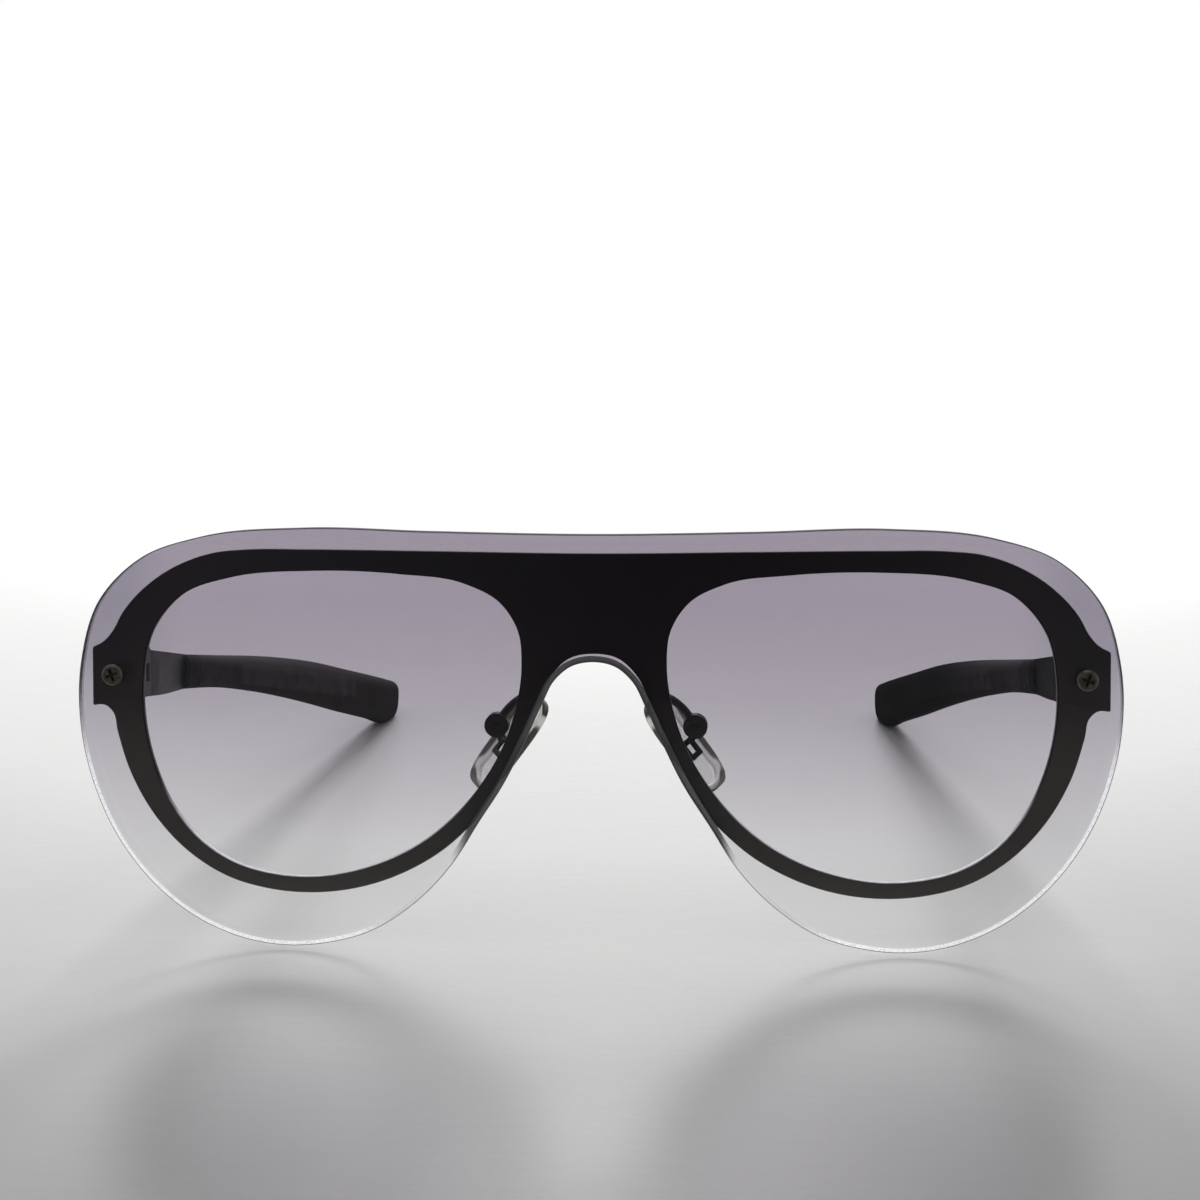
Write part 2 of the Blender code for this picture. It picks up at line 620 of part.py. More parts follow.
def tail_outline(grow):
    """The strip that the arm carries on into the sleeve, grown all round for its socket."""
    centre = flow(millimetres(TAIL_LINE), 4)
    half = TAIL_HALF_HEIGHT + grow
    upper = centre + (0, half)
    lower = centre[::-1] - (0, half)
    end = centre[-1]
    turn = np.linspace(math.pi / 2, -math.pi / 2, 7)[1:-1]
    cap = np.stack([end[0] + half * np.cos(turn), end[1] + half * np.sin(turn)], 1)
    return upper, cap, lower


def build_temple_arm(frames):
    """Flat metal strip that tapers back from the hinge and carries on inside the sleeve."""
    slope = math.tan(TEMPLE_PITCH)
    half = ARM_FRONT_HALF_HEIGHT
    front = [(ARM_FRONT + half * slope, -half), (ARM_FRONT - half * slope, half)]
    upper, cap, lower = tail_outline(0.0)
    top, bottom = flow(millimetres(ARM_TOP)), flow(millimetres(ARM_BOTTOM))
    outline = np.concatenate([front, top, upper, cap, lower, bottom])
    turn, loop = side_view(outline, ARM_INNER + ARM_THICKNESS / 2)
    arm = extruded("temple_arm_right", [loop], ARM_THICKNESS / 2, frames["line"], turn, FINISH["metal"])
    for i, s in enumerate(STUD_PLACES):
        hole = rod(f"stud_hole_{i}", STUD_RADIUS + PIN_CLEARANCE, 0, 6 * MM, frames["line"],
                   Matrix.Rotation(math.pi / 2, 4, "Y"), (0, s, 0), SMALL_SIDES)
        combine(arm, hole, "DIFFERENCE")


def build_temple_leaf(frames):
    """Hinge leaf inside the arm: a plate, a neck in the slot, the middle knuckle and two studs."""
    outer = ARM_INNER - PIN_CLEARANCE
    inner = outer - LEAF_THICKNESS
    clear = KNUCKLE_RADIUS + SWING_GAP
    neck, wide, corner = LEAF_NECK_HALF_HEIGHT, LEAF_HALF_HEIGHT, LEAF_CORNER
    flared = clear + LEAF_FLARE_RUN
    outline = [
        (0.0, -neck), (clear, -neck), (flared, -wide), (LEAF_LENGTH - corner, -wide),
        (LEAF_LENGTH, corner - wide), (LEAF_LENGTH, wide - corner), (LEAF_LENGTH - corner, wide),
        (flared, wide), (clear, neck), (0.0, neck),
    ]
    turn, loop = side_view(outline, (inner + outer) / 2)
    leaf = extruded("temple_leaf_right", [loop], LEAF_THICKNESS / 2, frames["line"], turn, FINISH["metal"])
    half = MIDDLE_KNUCKLE_HALF_HEIGHT
    combine(leaf, rod("middle_knuckle", KNUCKLE_RADIUS, -half, half, frames["pivot"]), "UNION")
    far = ARM_INNER + ARM_THICKNESS + STUD_PROUD
    for i, s in enumerate(STUD_PLACES):
        stud = rod(f"leaf_stud_{i}", STUD_RADIUS, outer - LEAF_THICKNESS / 2, far, frames["line"],
                   Matrix.Rotation(math.pi / 2, 4, "Y"), (0, s, 0), SMALL_SIDES)
        combine(leaf, stud, "UNION")
    pin_hole = rod("leaf_hole", HINGE_PIN_RADIUS + PIN_CLEARANCE, -2 * half, 2 * half, frames["pivot"])
    combine(leaf, pin_hole, "DIFFERENCE")


def sleeve_stations():
    """Places of the sleeve's sections with how much each is drawn in: ribs at the front, then an even run."""
    end = SLEEVE_TOP[-1][0] * MM
    places, drawn = [], []
    for k in range(RIB_COUNT):
        start = SLEEVE_START * MM + k * RIB_PITCH
        for share in (0.0, RIB_LAND, RIB_LAND + RIB_FLANK, 1 - RIB_FLANK):
            places.append(start + share * RIB_PITCH)
            drawn.append(RIB_DEPTH if share > RIB_LAND else 0.0)
    smooth = SLEEVE_START * MM + RIB_COUNT * RIB_PITCH
    ease = 1 - (1 - np.linspace(0, 1, SLEEVE_RINGS)) ** RING_CROWDING
    places.extend(smooth + (end - smooth) * ease)
    drawn.extend([0.0] * SLEEVE_RINGS)
    return np.array(places), np.array(drawn)


def build_temple_sleeve(frames):
    """Moulded sleeve: superellipse sections between its top and bottom runs, with a socket for the tail."""
    places, drawn = sleeve_stations()
    top, bottom = (run(millimetres(table), places) for table in (SLEEVE_TOP, SLEEVE_BOTTOM))
    thick = run(millimetres(SLEEVE_HALF_THICKNESS), places) - drawn
    centre, tall = (top + bottom) / 2, (top - bottom) / 2 - drawn
    section = superellipse(SLEEVE_SIDES, SLEEVE_ROUNDNESS)
    middle = ARM_INNER + ARM_THICKNESS / 2
    rings = [
        [(middle + w * u, s, c + h * v) for u, v in section]
        for s, w, c, h in zip(places, thick, centre, tall)
    ]
    sleeve = loft("temple_sleeve_right", rings, frames["line"], FINISH["sleeve"])
    upper, cap, lower = tail_outline(SOCKET_GAP)
    mouth = millimetres([(ARM_END - SOCKET_LEAD, TAIL_LINE[0][1])])
    grown = TAIL_HALF_HEIGHT + SOCKET_GAP
    outline = np.concatenate([mouth + (0, grown), upper, cap, lower, mouth - (0, grown)])
    turn, loop = side_view(outline, middle)
    socket = extruded("sleeve_socket", [loop], ARM_THICKNESS / 2 + SOCKET_GAP, frames["line"], turn)
    combine(sleeve, socket, "DIFFERENCE")
    tip = frames["line"].matrix_world @ Vector((middle, TIP_CONTACT[0] * MM, TIP_CONTACT[1] * MM))
    reach = Vector((8 * MM, 12 * MM, 0))
    below, above = tip - reach, tip + reach
    below.z, above.z = -3 * MM, 0
    floor = block("table_cutter", below, above, None)
    combine(sleeve, floor, "DIFFERENCE")


# Pieces of a nose pad


def build_pad_arm(frames):
    """Looped wire from a foot on the plate to the box: a clevis of two round cheeks."""
    x, z = millimetres(PAD_FOOT)
    foot_front = LENS_THICKNESS + 2 * SEAT_GAP + PLATE_THICKNESS + float(sag(x))
    start, end = np.array([x, foot_front + PAD_FOOT_HEIGHT / 2, z]), millimetres(PAD_BOX)
    route = [start + share * (end - start) + millimetres(bow) for share, bow in PAD_WIRE]
    arm = tube("pad_arm_right", flow(route, 4), PAD_WIRE_RADIUS, FRONT, FINISH["plate"])
    along = Matrix.Rotation(-math.pi / 2, 4, "X")
    foot = rod("pad_foot", PAD_FOOT_RADIUS, foot_front, foot_front + PAD_FOOT_HEIGHT, FRONT, along,
               (x, 0, z), SMALL_SIDES)
    combine(arm, foot, "UNION")
    cheeks = rod("pad_cheeks", BOX_RADIUS, -BOX_HALF_DEPTH, BOX_HALF_DEPTH, frames["box"], along)
    combine(arm, cheeks, "UNION")
    wide, deep = 2 * BOX_RADIUS, BOX_SLOT_HALF
    slot = block("pad_box_slot", (-wide, -deep, -wide), (wide, deep, BOX_BRIDGE), frames["box"])
    slot.rotation_euler.y = -PAD_FLARE
    combine(arm, slot, "DIFFERENCE")
    through = 2 * BOX_HALF_DEPTH
    hole = rod("pad_box_hole", PAD_SCREW_RADIUS + PIN_CLEARANCE, -through, through, frames["box"], along,
               sides=SMALL_SIDES)
    combine(arm, hole, "DIFFERENCE")


def build_pad_screw(frames):
    """Tiny slotted screw through the box, its head at the back."""
    head = BOX_HALF_DEPTH + PIN_CLEARANCE + PAD_SCREW_HEAD_HEIGHT
    base = head - PAD_SCREW_HEAD_HEIGHT
    end = -BOX_HALF_DEPTH
    profile = [
        (0.0, head), (0.75 * PAD_SCREW_HEAD_RADIUS, head), (PAD_SCREW_HEAD_RADIUS, head - HEAD_BEVEL),
        (PAD_SCREW_HEAD_RADIUS, base), (PAD_SCREW_RADIUS, base), (PAD_SCREW_RADIUS, end), (0.0, end),
    ]
    turn = (-math.pi / 2, 0, 0)
    screw = turned("pad_screw_right", profile, frames["box"], FINISH["screw"], turn, SMALL_SIDES)
    half, wide = DRIVER_SLOT_WIDTH / 2, 2 * PAD_SCREW_HEAD_RADIUS
    low, high = (-wide, head - DRIVER_SLOT_DEPTH, -half), (wide, head + MM, half)
    slot = block("pad_screw_slot", low, high, frames["box"])
    combine(screw, slot, "DIFFERENCE")


def pad_section(scale, inset, x):
    """One ring of the pad: its outline, scaled and drawn in, at this height off the middle."""
    section = superellipse(PAD_SIDES, PAD_ROUNDNESS)
    y = section[:, 0] * (PAD_HALF_WIDTH * scale - inset)
    z = section[:, 1] * (PAD_HALF_LENGTH * scale - inset)
    return [(x, b, c) for b, c in zip(y, z)]


def build_nose_pad(frames):
    """Clear pad: a crowned face to the nose, a rim round the back, and a dish that the insert lies in."""
    crown = (0.3, 0.6, 0.82, 0.95)
    rings = [pad_section(scale, 0.0, -PAD_CROWN * math.sqrt(1 - scale**2)) for scale in crown]
    rim = PAD_RIM_HEIGHT
    rings += [
        pad_section(1.0, 0.0, 0.0), pad_section(1.0, 0.0, rim - PAD_RIM_ROUND),
        pad_section(1.0, PAD_RIM_ROUND, rim), pad_section(1.0, PAD_RIM_WIDTH, rim - PAD_RIM_ROUND / 2),
        pad_section(1.0, PAD_RIM_WIDTH + PAD_DISH_SLOPE, PAD_DISH_FLOOR),
    ]
    loft("nose_pad_right", rings, frames["pad"], FINISH["pad"])


def build_pad_insert(frames):
    """Stamped loop in the pad's dish, a stem and the eye that the screw holds between the cheeks."""
    half_z, half_y = (value * MM for value in LOOP_HALF)
    hole_z, hole_y = (value * MM for value in LOOP_HOLE_HALF)
    outer = np.array([(half_y, -half_z), (half_y, half_z), (-half_y, half_z), (-half_y, -half_z)])
    inner = np.array([(hole_y, -hole_z), (hole_y, hole_z), (-hole_y, hole_z), (-hole_y, -hole_z)])
    half = LOOP_THICKNESS / 2
    middle = PAD_DISH_FLOOR + SEAT_GAP + half
    lay = Matrix(((0, 0, 1, middle), (1, 0, 0, 0), (0, 1, 0, LOOP_PLACE), (0, 0, 0, 1)))
    insert = extruded("pad_insert_right", [outer, inner], half, frames["pad"], lay, FINISH["metal"])
    landing = frames["pad"].matrix_local @ Vector((middle, 0, LOOP_PLACE + half_z - STEM_LANDING))
    route = [(0, 0, -EYE_RADIUS / 2), STEM_KNEE, landing]
    stem = tube("insert_stem", route, STEM_RADIUS, frames["box"])
    combine(insert, stem, "UNION")
    along = Matrix.Rotation(-math.pi / 2, 4, "X")
    eye = rod("insert_eye", EYE_RADIUS, -EYE_HALF_THICKNESS, EYE_HALF_THICKNESS, frames["box"], along)
    combine(insert, eye, "UNION")
    reach = 2 * BOX_RADIUS
    hole = rod("insert_hole", PAD_SCREW_RADIUS + PIN_CLEARANCE, -reach, reach, frames["box"], along,
               sides=SMALL_SIDES)
    combine(insert, hole, "DIFFERENCE")


# Left-hand twins


def build_twins(frames_of):
    """Each right-hand piece again on the left, as its mirror image in the mirrored frame."""
    bpy.context.view_layer.update()
    graph = bpy.context.evaluated_depsgraph_get()
    frame_keys = {frame: key for key, frame in frames_of[1].items()}
    for obj in list(PARTS.objects):
        if obj.type != "MESH" or not obj.name.endswith("_right"):
            continue
        parent = FRONT if obj.parent == FRONT else frames_of[-1][frame_keys[obj.parent]]
        bm = bmesh.new()
        bm.from_mesh(bpy.data.meshes.new_from_object(obj.evaluated_get(graph)))
        bmesh.ops.transform(bm, matrix=Matrix.Diagonal((-1, 1, 1, 1)) @ obj.matrix_basis, verts=bm.verts)
        bmesh.ops.reverse_faces(bm, faces=bm.faces)
        name = obj.name.replace("_right", "_left")
        mesh = bpy.data.meshes.new(name)
        bm.to_mesh(mesh)
        bm.free()
        add_object(name, mesh, parent, obj.data.materials[0])


def shade_round():
    for obj in PARTS.objects:
        if obj.type == "MESH":
            obj.data.shade_smooth()
            obj.data.set_sharp_from_angle(angle=math.radians(35.0))


def centre_on_footprint():
    """Moves the front's frame so that the origin is under the middle of the whole object."""
    bpy.context.view_layer.update()
    graph = bpy.context.evaluated_depsgraph_get()
    low, high = math.inf, -math.inf
    for obj in PARTS.objects:
        if obj.type != "MESH":
            continue
        mesh = obj.evaluated_get(graph).to_mesh()
        places = [(obj.matrix_world @ vert.co).y for vert in mesh.vertices]
        low, high = min(low, *places), max(high, *places)
        obj.evaluated_get(graph).to_mesh_clear()
    shift = -(low + high) / 2
    FRONT.location.y += shift
    bpy.data.objects["table_cutter"].location.y += shift
    bpy.context.view_layer.update()


clear_scene()
PARTS = collection("shield_sunglasses")
CUTTERS = collection("cutters")
FINISH = {
    "lens": material("lens_polycarbonate", (0.62, 0.58, 0.66), 0.03, alpha=0.35),
    "plate": material("satin_black_metal", (0.02, 0.02, 0.019), 0.35, 0.3),
    "metal": material("gunmetal", (0.12, 0.12, 0.12), 0.4, 0.9),
    "screw": material("screw_steel", (0.16, 0.15, 0.13), 0.35, 1.0),
    "nylon": material("bush_nylon", (0.05, 0.05, 0.05), 0.6),
    "sleeve": material("black_rubber", (0.018, 0.018, 0.017), 0.65),
    "pad": material("clear_silicone", (0.85, 0.84, 0.78), 0.15, alpha=0.4),
}
BUSH_RADIUS = LENS_SCREW_RADIUS + PIN_CLEARANCE + BUSH_WALL
FRONT = empty("front_frame", None, (0, 0, front_lift()), (-FRONT_LEAN, 0, 0))
bpy.context.view_layer.update()
TEMPLE_PITCH = pitch_to_table()
FRAMES = {side: side_frames(side) for side in (1, -1)}
bpy.context.view_layer.update()

build_lens()
build_plate()
RIGHT = FRAMES[1]
build_lens_screw(RIGHT)
build_lens_bush(RIGHT)
build_end_piece(RIGHT)
build_hinge_screw(RIGHT)
build_temple_arm(RIGHT)
build_temple_leaf(RIGHT)
build_temple_sleeve(RIGHT)
build_pad_arm(RIGHT)
build_pad_screw(RIGHT)
build_nose_pad(RIGHT)
build_pad_insert(RIGHT)
build_twins(FRAMES)
shade_round()
centre_on_footprint()
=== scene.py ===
"""Looks of the rimless shield sunglasses, dressed over the packed model.

The world is in metres: +X to the right lobe, +Y back along the temples, +Z up. Sizes here are in millimetres
until a mesh is written. Right-hand pieces are worked out first, and the left-hand ones mirror them in x = 0.
"""

import logging
import math
from dataclasses import dataclass, field
from enum import Enum
from typing import Any, Callable, Optional, Sequence, Union

import bmesh
import bpy
import numpy as np
from mathutils import Euler, Matrix, Vector


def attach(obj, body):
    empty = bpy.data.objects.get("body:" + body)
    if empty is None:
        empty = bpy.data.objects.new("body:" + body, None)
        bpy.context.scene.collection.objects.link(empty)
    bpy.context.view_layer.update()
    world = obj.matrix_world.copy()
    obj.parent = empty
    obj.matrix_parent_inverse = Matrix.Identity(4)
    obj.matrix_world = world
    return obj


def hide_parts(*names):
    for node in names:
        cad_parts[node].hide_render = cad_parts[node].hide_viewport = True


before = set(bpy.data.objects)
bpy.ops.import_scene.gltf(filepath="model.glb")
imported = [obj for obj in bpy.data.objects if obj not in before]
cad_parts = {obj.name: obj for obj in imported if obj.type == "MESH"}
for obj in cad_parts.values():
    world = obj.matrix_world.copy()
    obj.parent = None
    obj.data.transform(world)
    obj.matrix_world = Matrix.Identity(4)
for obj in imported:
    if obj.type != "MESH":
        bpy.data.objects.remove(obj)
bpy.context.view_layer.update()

LOG = logging.getLogger("sunglasses")
MM = 0.001
DESIGN = "design"
CLOUDINESS = 0.55
UNLIT = (0.0, 0.0, 0.0)
# Points of a drawn mesh that lie closer than this many millimetres become one.
DOUBLE = 0.002

Array = np.ndarray
Pair = tuple[float, float]
Triple = tuple[float, float, float]
Pairs = tuple[Pair, ...]
Material = bpy.types.Material
Piece = bpy.types.Object


class Side(Enum):
    """The two sides of the glasses, as a viewer in front sees them, with the sign of x."""

    RIGHT = 1
    LEFT = -1

    @property
    def word(self) -> str:
        """The side as it ends the names of nodes and bodies."""
        return self.name.lower()


# Curves


def smooth_curve(points: Sequence[Pair] | Array, steps: int, closed: bool = False) -> Array:
    """A smooth curve through the points.

    Between two points runs the cubic that meets both with their slopes. A slope is that of the parabola
    through a point and its two neighbours, weighed by the lengths of the chords.

    Args:
        points: The points in order.
        steps: How many steps lead from one point to the next.
        closed: Whether the last point is joined to the first.

    Returns:
        The curve's points, one row each.
    """
    given = np.asarray(points, float)
    before, after = np.roll(given, 1, 0), np.roll(given, -1, 0)
    back = np.linalg.norm(given - before, axis=1)[:, None]
    ahead = np.linalg.norm(after - given, axis=1)[:, None]
    slope = (ahead * (given - before) / back + back * (after - given) / ahead) / (back + ahead)
    if not closed:
        slope[0] = 1.5 * (given[1] - given[0]) / ahead[0] - 0.5 * slope[1]
        slope[-1] = 1.5 * (given[-1] - given[-2]) / back[-1] - 0.5 * slope[-2]
    count = len(given) if closed else len(given) - 1
    first, last = given[:count, None], after[:count, None]
    chord = ahead[:count, None]
    leave, arrive = chord * slope[:count, None], chord * np.roll(slope, -1, 0)[:count, None]
    t = (np.arange(steps) / steps)[None, :, None]
    curve = (2 * t**3 - 3 * t**2 + 1) * first + (t**3 - 2 * t**2 + t) * leave
    curve = curve + (3 * t**2 - 2 * t**3) * last + (t**3 - t**2) * arrive
    curve = curve.reshape(-1, given.shape[1])
    return curve if closed else np.concatenate([curve, given[-1:]])


def evenly(points: Array, count: int, closed: bool = False) -> Array:
    """Points at even distances along a polyline, count of them, read by straight lines on its length."""
    path = np.concatenate([points, points[:1]]) if closed else points
    length = np.concatenate([[0.0], np.cumsum(np.linalg.norm(np.diff(path, axis=0), axis=1))])
    places = np.linspace(0.0, length[-1], count, endpoint=not closed)
    return np.stack([np.interp(places, length, path[:, k]) for k in range(path.shape[1])], 1)


def softened(loop: Array, reach: float) -> Array:
    """A closed loop of even points after a bell-shaped average over this distance, which rounds corners."""
    gap = float(np.linalg.norm(np.diff(loop, axis=0), axis=1).mean())
    half = max(int(3 * reach / gap), 1)
    weight = np.exp(-0.5 * (np.arange(-half, half + 1) * gap / reach) ** 2)
    weight /= weight.sum()
    shifts = [weight[k + half] * np.roll(loop, -k, 0) for k in range(-half, half + 1)]
    return np.sum(shifts, axis=0)


def inward_normals(loop: Array) -> Array:
    """Unit normals of a closed loop towards its inside: the slope between neighbours, turned a quarter."""
    slope = np.roll(loop, -1, 0) - np.roll(loop, 1, 0)
    slope /= np.linalg.norm(slope, axis=1)[:, None]
    after = np.roll(loop, -1, 0)
    area = float(np.sum(loop[:, 0] * after[:, 1] - after[:, 0] * loop[:, 1]))
    turned = np.stack([-slope[:, 1], slope[:, 0]], 1)
    return turned if area > 0 else -turned


def run_value(run: Sequence[Pair], places: Array) -> Array:
    """A run's value at each place, read from the smooth curve through its (place, value) points."""
    curve = smooth_curve(run, 16)
    return np.interp(places, curve[:, 0], curve[:, 1])


def mirror_points(points: Sequence[Pair]) -> list[Pair]:
    """A half outline's points on the other side, in reversed order."""
    return [(-x, z) for x, z in reversed(points)]


def superellipse(sides: int, exponent: float) -> Array:
    """Points round a superellipse of unit half-axes: cos t and sin t, each to the power 2 / exponent."""
    turn = np.arange(sides) * 2 * math.pi / sides
    power = 2 / exponent
    x, y = np.cos(turn), np.sin(turn)
    return np.stack([np.sign(x) * np.abs(x) ** power, np.sign(y) * np.abs(y) ** power], 1)


# Places


@dataclass(frozen=True)
class Place:
    """A frame on the glasses, in millimetres: its matrix takes local points to the world's."""

    matrix: Matrix

    def child(self, offset: Triple, turn: Triple = (0.0, 0.0, 0.0), order: str = "XYZ") -> "Place":
        """A frame that stands in this one, moved by the offset and turned by the angles in radians."""
        turned = Euler(turn, order).to_matrix().to_4x4()
        return Place(self.matrix @ Matrix.Translation(Vector(offset)) @ turned)

    def world(self, points: Array) -> Array:
        """World places, in metres, of local points in millimetres."""
        matrix = np.array(self.matrix)
        return (points @ matrix[:3, :3].T + matrix[:3, 3]) * MM


@dataclass(frozen=True)
class Stance:
    """How the glasses stand on the table, and the frames that its right-hand pieces are drawn in."""

    lean: float = math.radians(6.44)
    origin: Triple = (0.0, -68.3993, 0.3382)
    lens_radius: float = 920.0
    screw: Pair = (68.7, 38.65)
    hinge: Triple = (-1.4, 8.0, -0.5)
    toe_in: float = math.radians(9.5)
    pitch: float = math.radians(9.728198)
    pad_box: Triple = (14.2, 7.0, 31.2)
    pad_offset: Triple = (-1.75, 1.9, -2.9)
    pad_flare: float = math.radians(36.5)
    pad_splay: float = math.radians(38.0)

    def sag(self, x: float) -> float:
        """How far back the lens's front face lies at this x: the radius less the circle's height there."""
        return self.lens_radius - math.sqrt(self.lens_radius**2 - x**2)

    @property
    def front(self) -> Place:
        """The front's frame, which leans back on the table."""
        return Place(Matrix.Translation(Vector(self.origin)) @ Matrix.Rotation(-self.lean, 4, "X"))

    @property
    def end(self) -> Place:
        """The frame at the right lens screw: y runs straight back through the plates."""
        x, z = self.screw
        return self.front.child((x, self.sag(x), z), (0.0, 0.0, math.asin(x / self.lens_radius)))

    @property
    def line(self) -> Place:
        """The right temple's frame: y runs from the hinge to the tip."""
        pivot = self.end.child(self.hinge)
        turn = self.toe_in - math.asin(self.screw[0] / self.lens_radius)
        return pivot.child((0, 0, 0), (-self.pitch, 0.0, turn))

    @property
    def pad(self) -> Place:
        """The right nose pad's frame: its face looks to -x and its length runs along z."""
        box = self.front.child(self.pad_box)
        return box.child(self.pad_offset, (0.0, -self.pad_flare, -self.pad_splay), "ZYX")


STANCE = Stance()


def bent(x: Array, z: Array, depth: Array, back: float) -> Array:
    """Points of a sheet on the lens's cylinder.

    The angle round the cylinder is the arcsine of x over the radius of the sheet's front face, and a point
    lies at that radius less its depth.

    Args:
        x: Places across, measured on the sheet's front face.
        z: Heights.
        depth: Depths behind the sheet's front face.
        back: How far that face lies behind the lens's.

    Returns:
        Points in the front's frame, in millimetres.
    """
    radius = STANCE.lens_radius - back
    turn = np.arcsin(x / radius)
    reach = radius - depth
    return np.stack([reach * np.sin(turn), STANCE.lens_radius - reach * np.cos(turn), z], -1)


# Meshes


@dataclass(frozen=True)
class Surface:
    """Points, faces and finishes of a piece before it is a mesh.

    Attributes:
        points: World places in metres.
        design: The same points in the piece's own frame, in millimetres, for patterns.
        faces: Rows of four point numbers, where a triangle's last is -1.
        marks: The material slot of each face.
    """

    points: Array
    design: Array
    faces: Array
    marks: Array

    def on(self, side: Side) -> "Surface":
        """This surface for the right side, and its mirror image for the left."""
        return self if side is Side.RIGHT else self.mirrored()

    def mirrored(self) -> "Surface":
        """The same surface on the other side of x = 0, with its faces turned round."""
        flip = np.array([-1.0, 1.0, 1.0])
        turned = np.where(self.faces[:, 3:] < 0, self.faces[:, [2, 1, 0, 3]], self.faces[:, ::-1])
        return Surface(self.points * flip, self.design * flip, turned, self.marks)

    def joined(self, other: "Surface") -> "Surface":
        """This surface and the other as one, with the other's faces numbered on."""
        shifted = np.where(other.faces >= 0, other.faces + len(self.points), -1)
        pairs = [(self.points, other.points), (self.design, other.design), (self.faces, shifted)]
        return Surface(*(np.concatenate(pair) for pair in [*pairs, (self.marks, other.marks)]))


def grid_faces(rows: int, columns: int, closed: bool = False) -> Array:
    """Quads between rows of points that are numbered row by row; closed joins each row's two ends."""
    row = np.arange(rows - 1)[:, None]
    column = np.arange(columns if closed else columns - 1)[None, :]
    after = (column + 1) % columns
    low, high = row * columns, (row + 1) * columns
    return np.stack([low + column, low + after, high + after, high + column], -1).reshape(-1, 4)


def fan_faces(first: int, count: int, middle: int) -> Array:
    """Triangles between each pair of neighbours in a closed ring of points and one middle point."""
    ring = np.arange(count)
    after = (ring + 1) % count
    return np.stack([first + ring, first + after, np.full(count, middle), np.full(count, -1)], 1)


def lofted(rings: Array, place: Place) -> Surface:
    """A closed body through rings: quads from ring to ring, and a fan about the points' mean at each end.

    Args:
        rings: Local points in millimetres, as an array of ring, point and axis.
        place: The frame that the rings are drawn in.

    Returns:
        The body's surface.
    """
    count, sides = rings.shape[:2]
    local = np.concatenate([rings.reshape(-1, 3), rings[[0, -1]].mean(1)])
    start = fan_faces(0, sides, count * sides)[:, [1, 0, 2, 3]]
    end = fan_faces((count - 1) * sides, sides, count * sides + 1)
    faces = np.concatenate([grid_faces(count, sides, closed=True), start, end])
    return Surface(place.world(local), local, faces, np.zeros(len(faces), int))


def write_mesh(name: str, surface: Surface, materials: Sequence[Material], sharp: float) -> Piece:
    """Makes the object of a surface, with the design places as an attribute of its points.

    Args:
        name: The piece's name.
        surface: What it is made of.
        materials: One for each material slot.
        sharp: Edges past this angle, in degrees, stay crisp.

    Returns:
        The object, at the origin.
    """
    mesh = bpy.data.meshes.new(name)
    rows = [row[:3] if row[3] < 0 else row for row in surface.faces.tolist()]
    mesh.from_pydata(surface.points.tolist(), [], rows)
    mesh.polygons.foreach_set("material_index", surface.marks.astype(np.int32))
    design = mesh.attributes.new(DESIGN, "FLOAT_VECTOR", "POINT")
    design.data.foreach_set("vector", surface.design.astype(np.float32).ravel())
    tidy_mesh(mesh, DOUBLE, sharp)
    return add_object(name, mesh, materials)


def tidy_mesh(mesh: bpy.types.Mesh, reach: float, sharp: float, flat: float = 0.0) -> None:
    """Merges a mesh's doubles and turns its faces outwards.

    Args:
        mesh: The mesh.
        reach: Points closer than this many millimetres become one.
        sharp: Edges past this angle, in degrees, stay crisp.
        flat: Where given, faces within this angle are joined; otherwise flattened ones are dropped.
    """
    shape = bmesh.new()
    shape.from_mesh(mesh)
    bmesh.ops.remove_doubles(shape, verts=shape.verts, dist=reach * MM)
    if flat:
        bmesh.ops.dissolve_limit(shape, angle_limit=math.radians(flat), verts=shape.verts, edges=shape.edges)
    else:
        bmesh.ops.dissolve_degenerate(shape, edges=shape.edges, dist=reach * MM / 4)
    bmesh.ops.recalc_face_normals(shape, faces=shape.faces)
    for face in shape.faces:
        face.smooth = True
    shape.to_mesh(mesh)
    shape.free()
    mesh.set_sharp_from_angle(angle=math.radians(sharp))


def add_object(name: str, mesh: bpy.types.Mesh, materials: Sequence[Material]) -> Piece:
    """An object of this mesh in the scene, at the origin, with these materials and no others."""
    # Clearing also puts every face in the first slot, so a mesh without materials is left as it is.
    if mesh.materials:
        mesh.materials.clear()
    for finish in materials:
        mesh.materials.append(finish)
    made = bpy.data.objects.new(name, mesh)
    bpy.context.scene.collection.objects.link(made)
    return made


def settle(piece: Piece, body: str, node: str) -> None:
    """Lets a piece ride on its body in place of the node, and reports it."""
    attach(piece, body)
    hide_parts(node)
    LOG.info("%s: %d faces, rides on %s", piece.name, len(piece.data.polygons), body)


# Shader maths


Term = Union["Value", float, int]


def _maths(operation: str, doc: str, swapped: bool = False) -> Callable[..., "Value"]:
    """A method that adds the Math node of this operation on the value and the others, or swapped."""

    def method(self: "Value", *others: Term) -> "Value":
        values = (*others, self) if swapped else (self, *others)
        return self.graph.node("ShaderNodeMath", {"operation": operation}, dict(enumerate(values)))

    method.__doc__ = doc
    return method


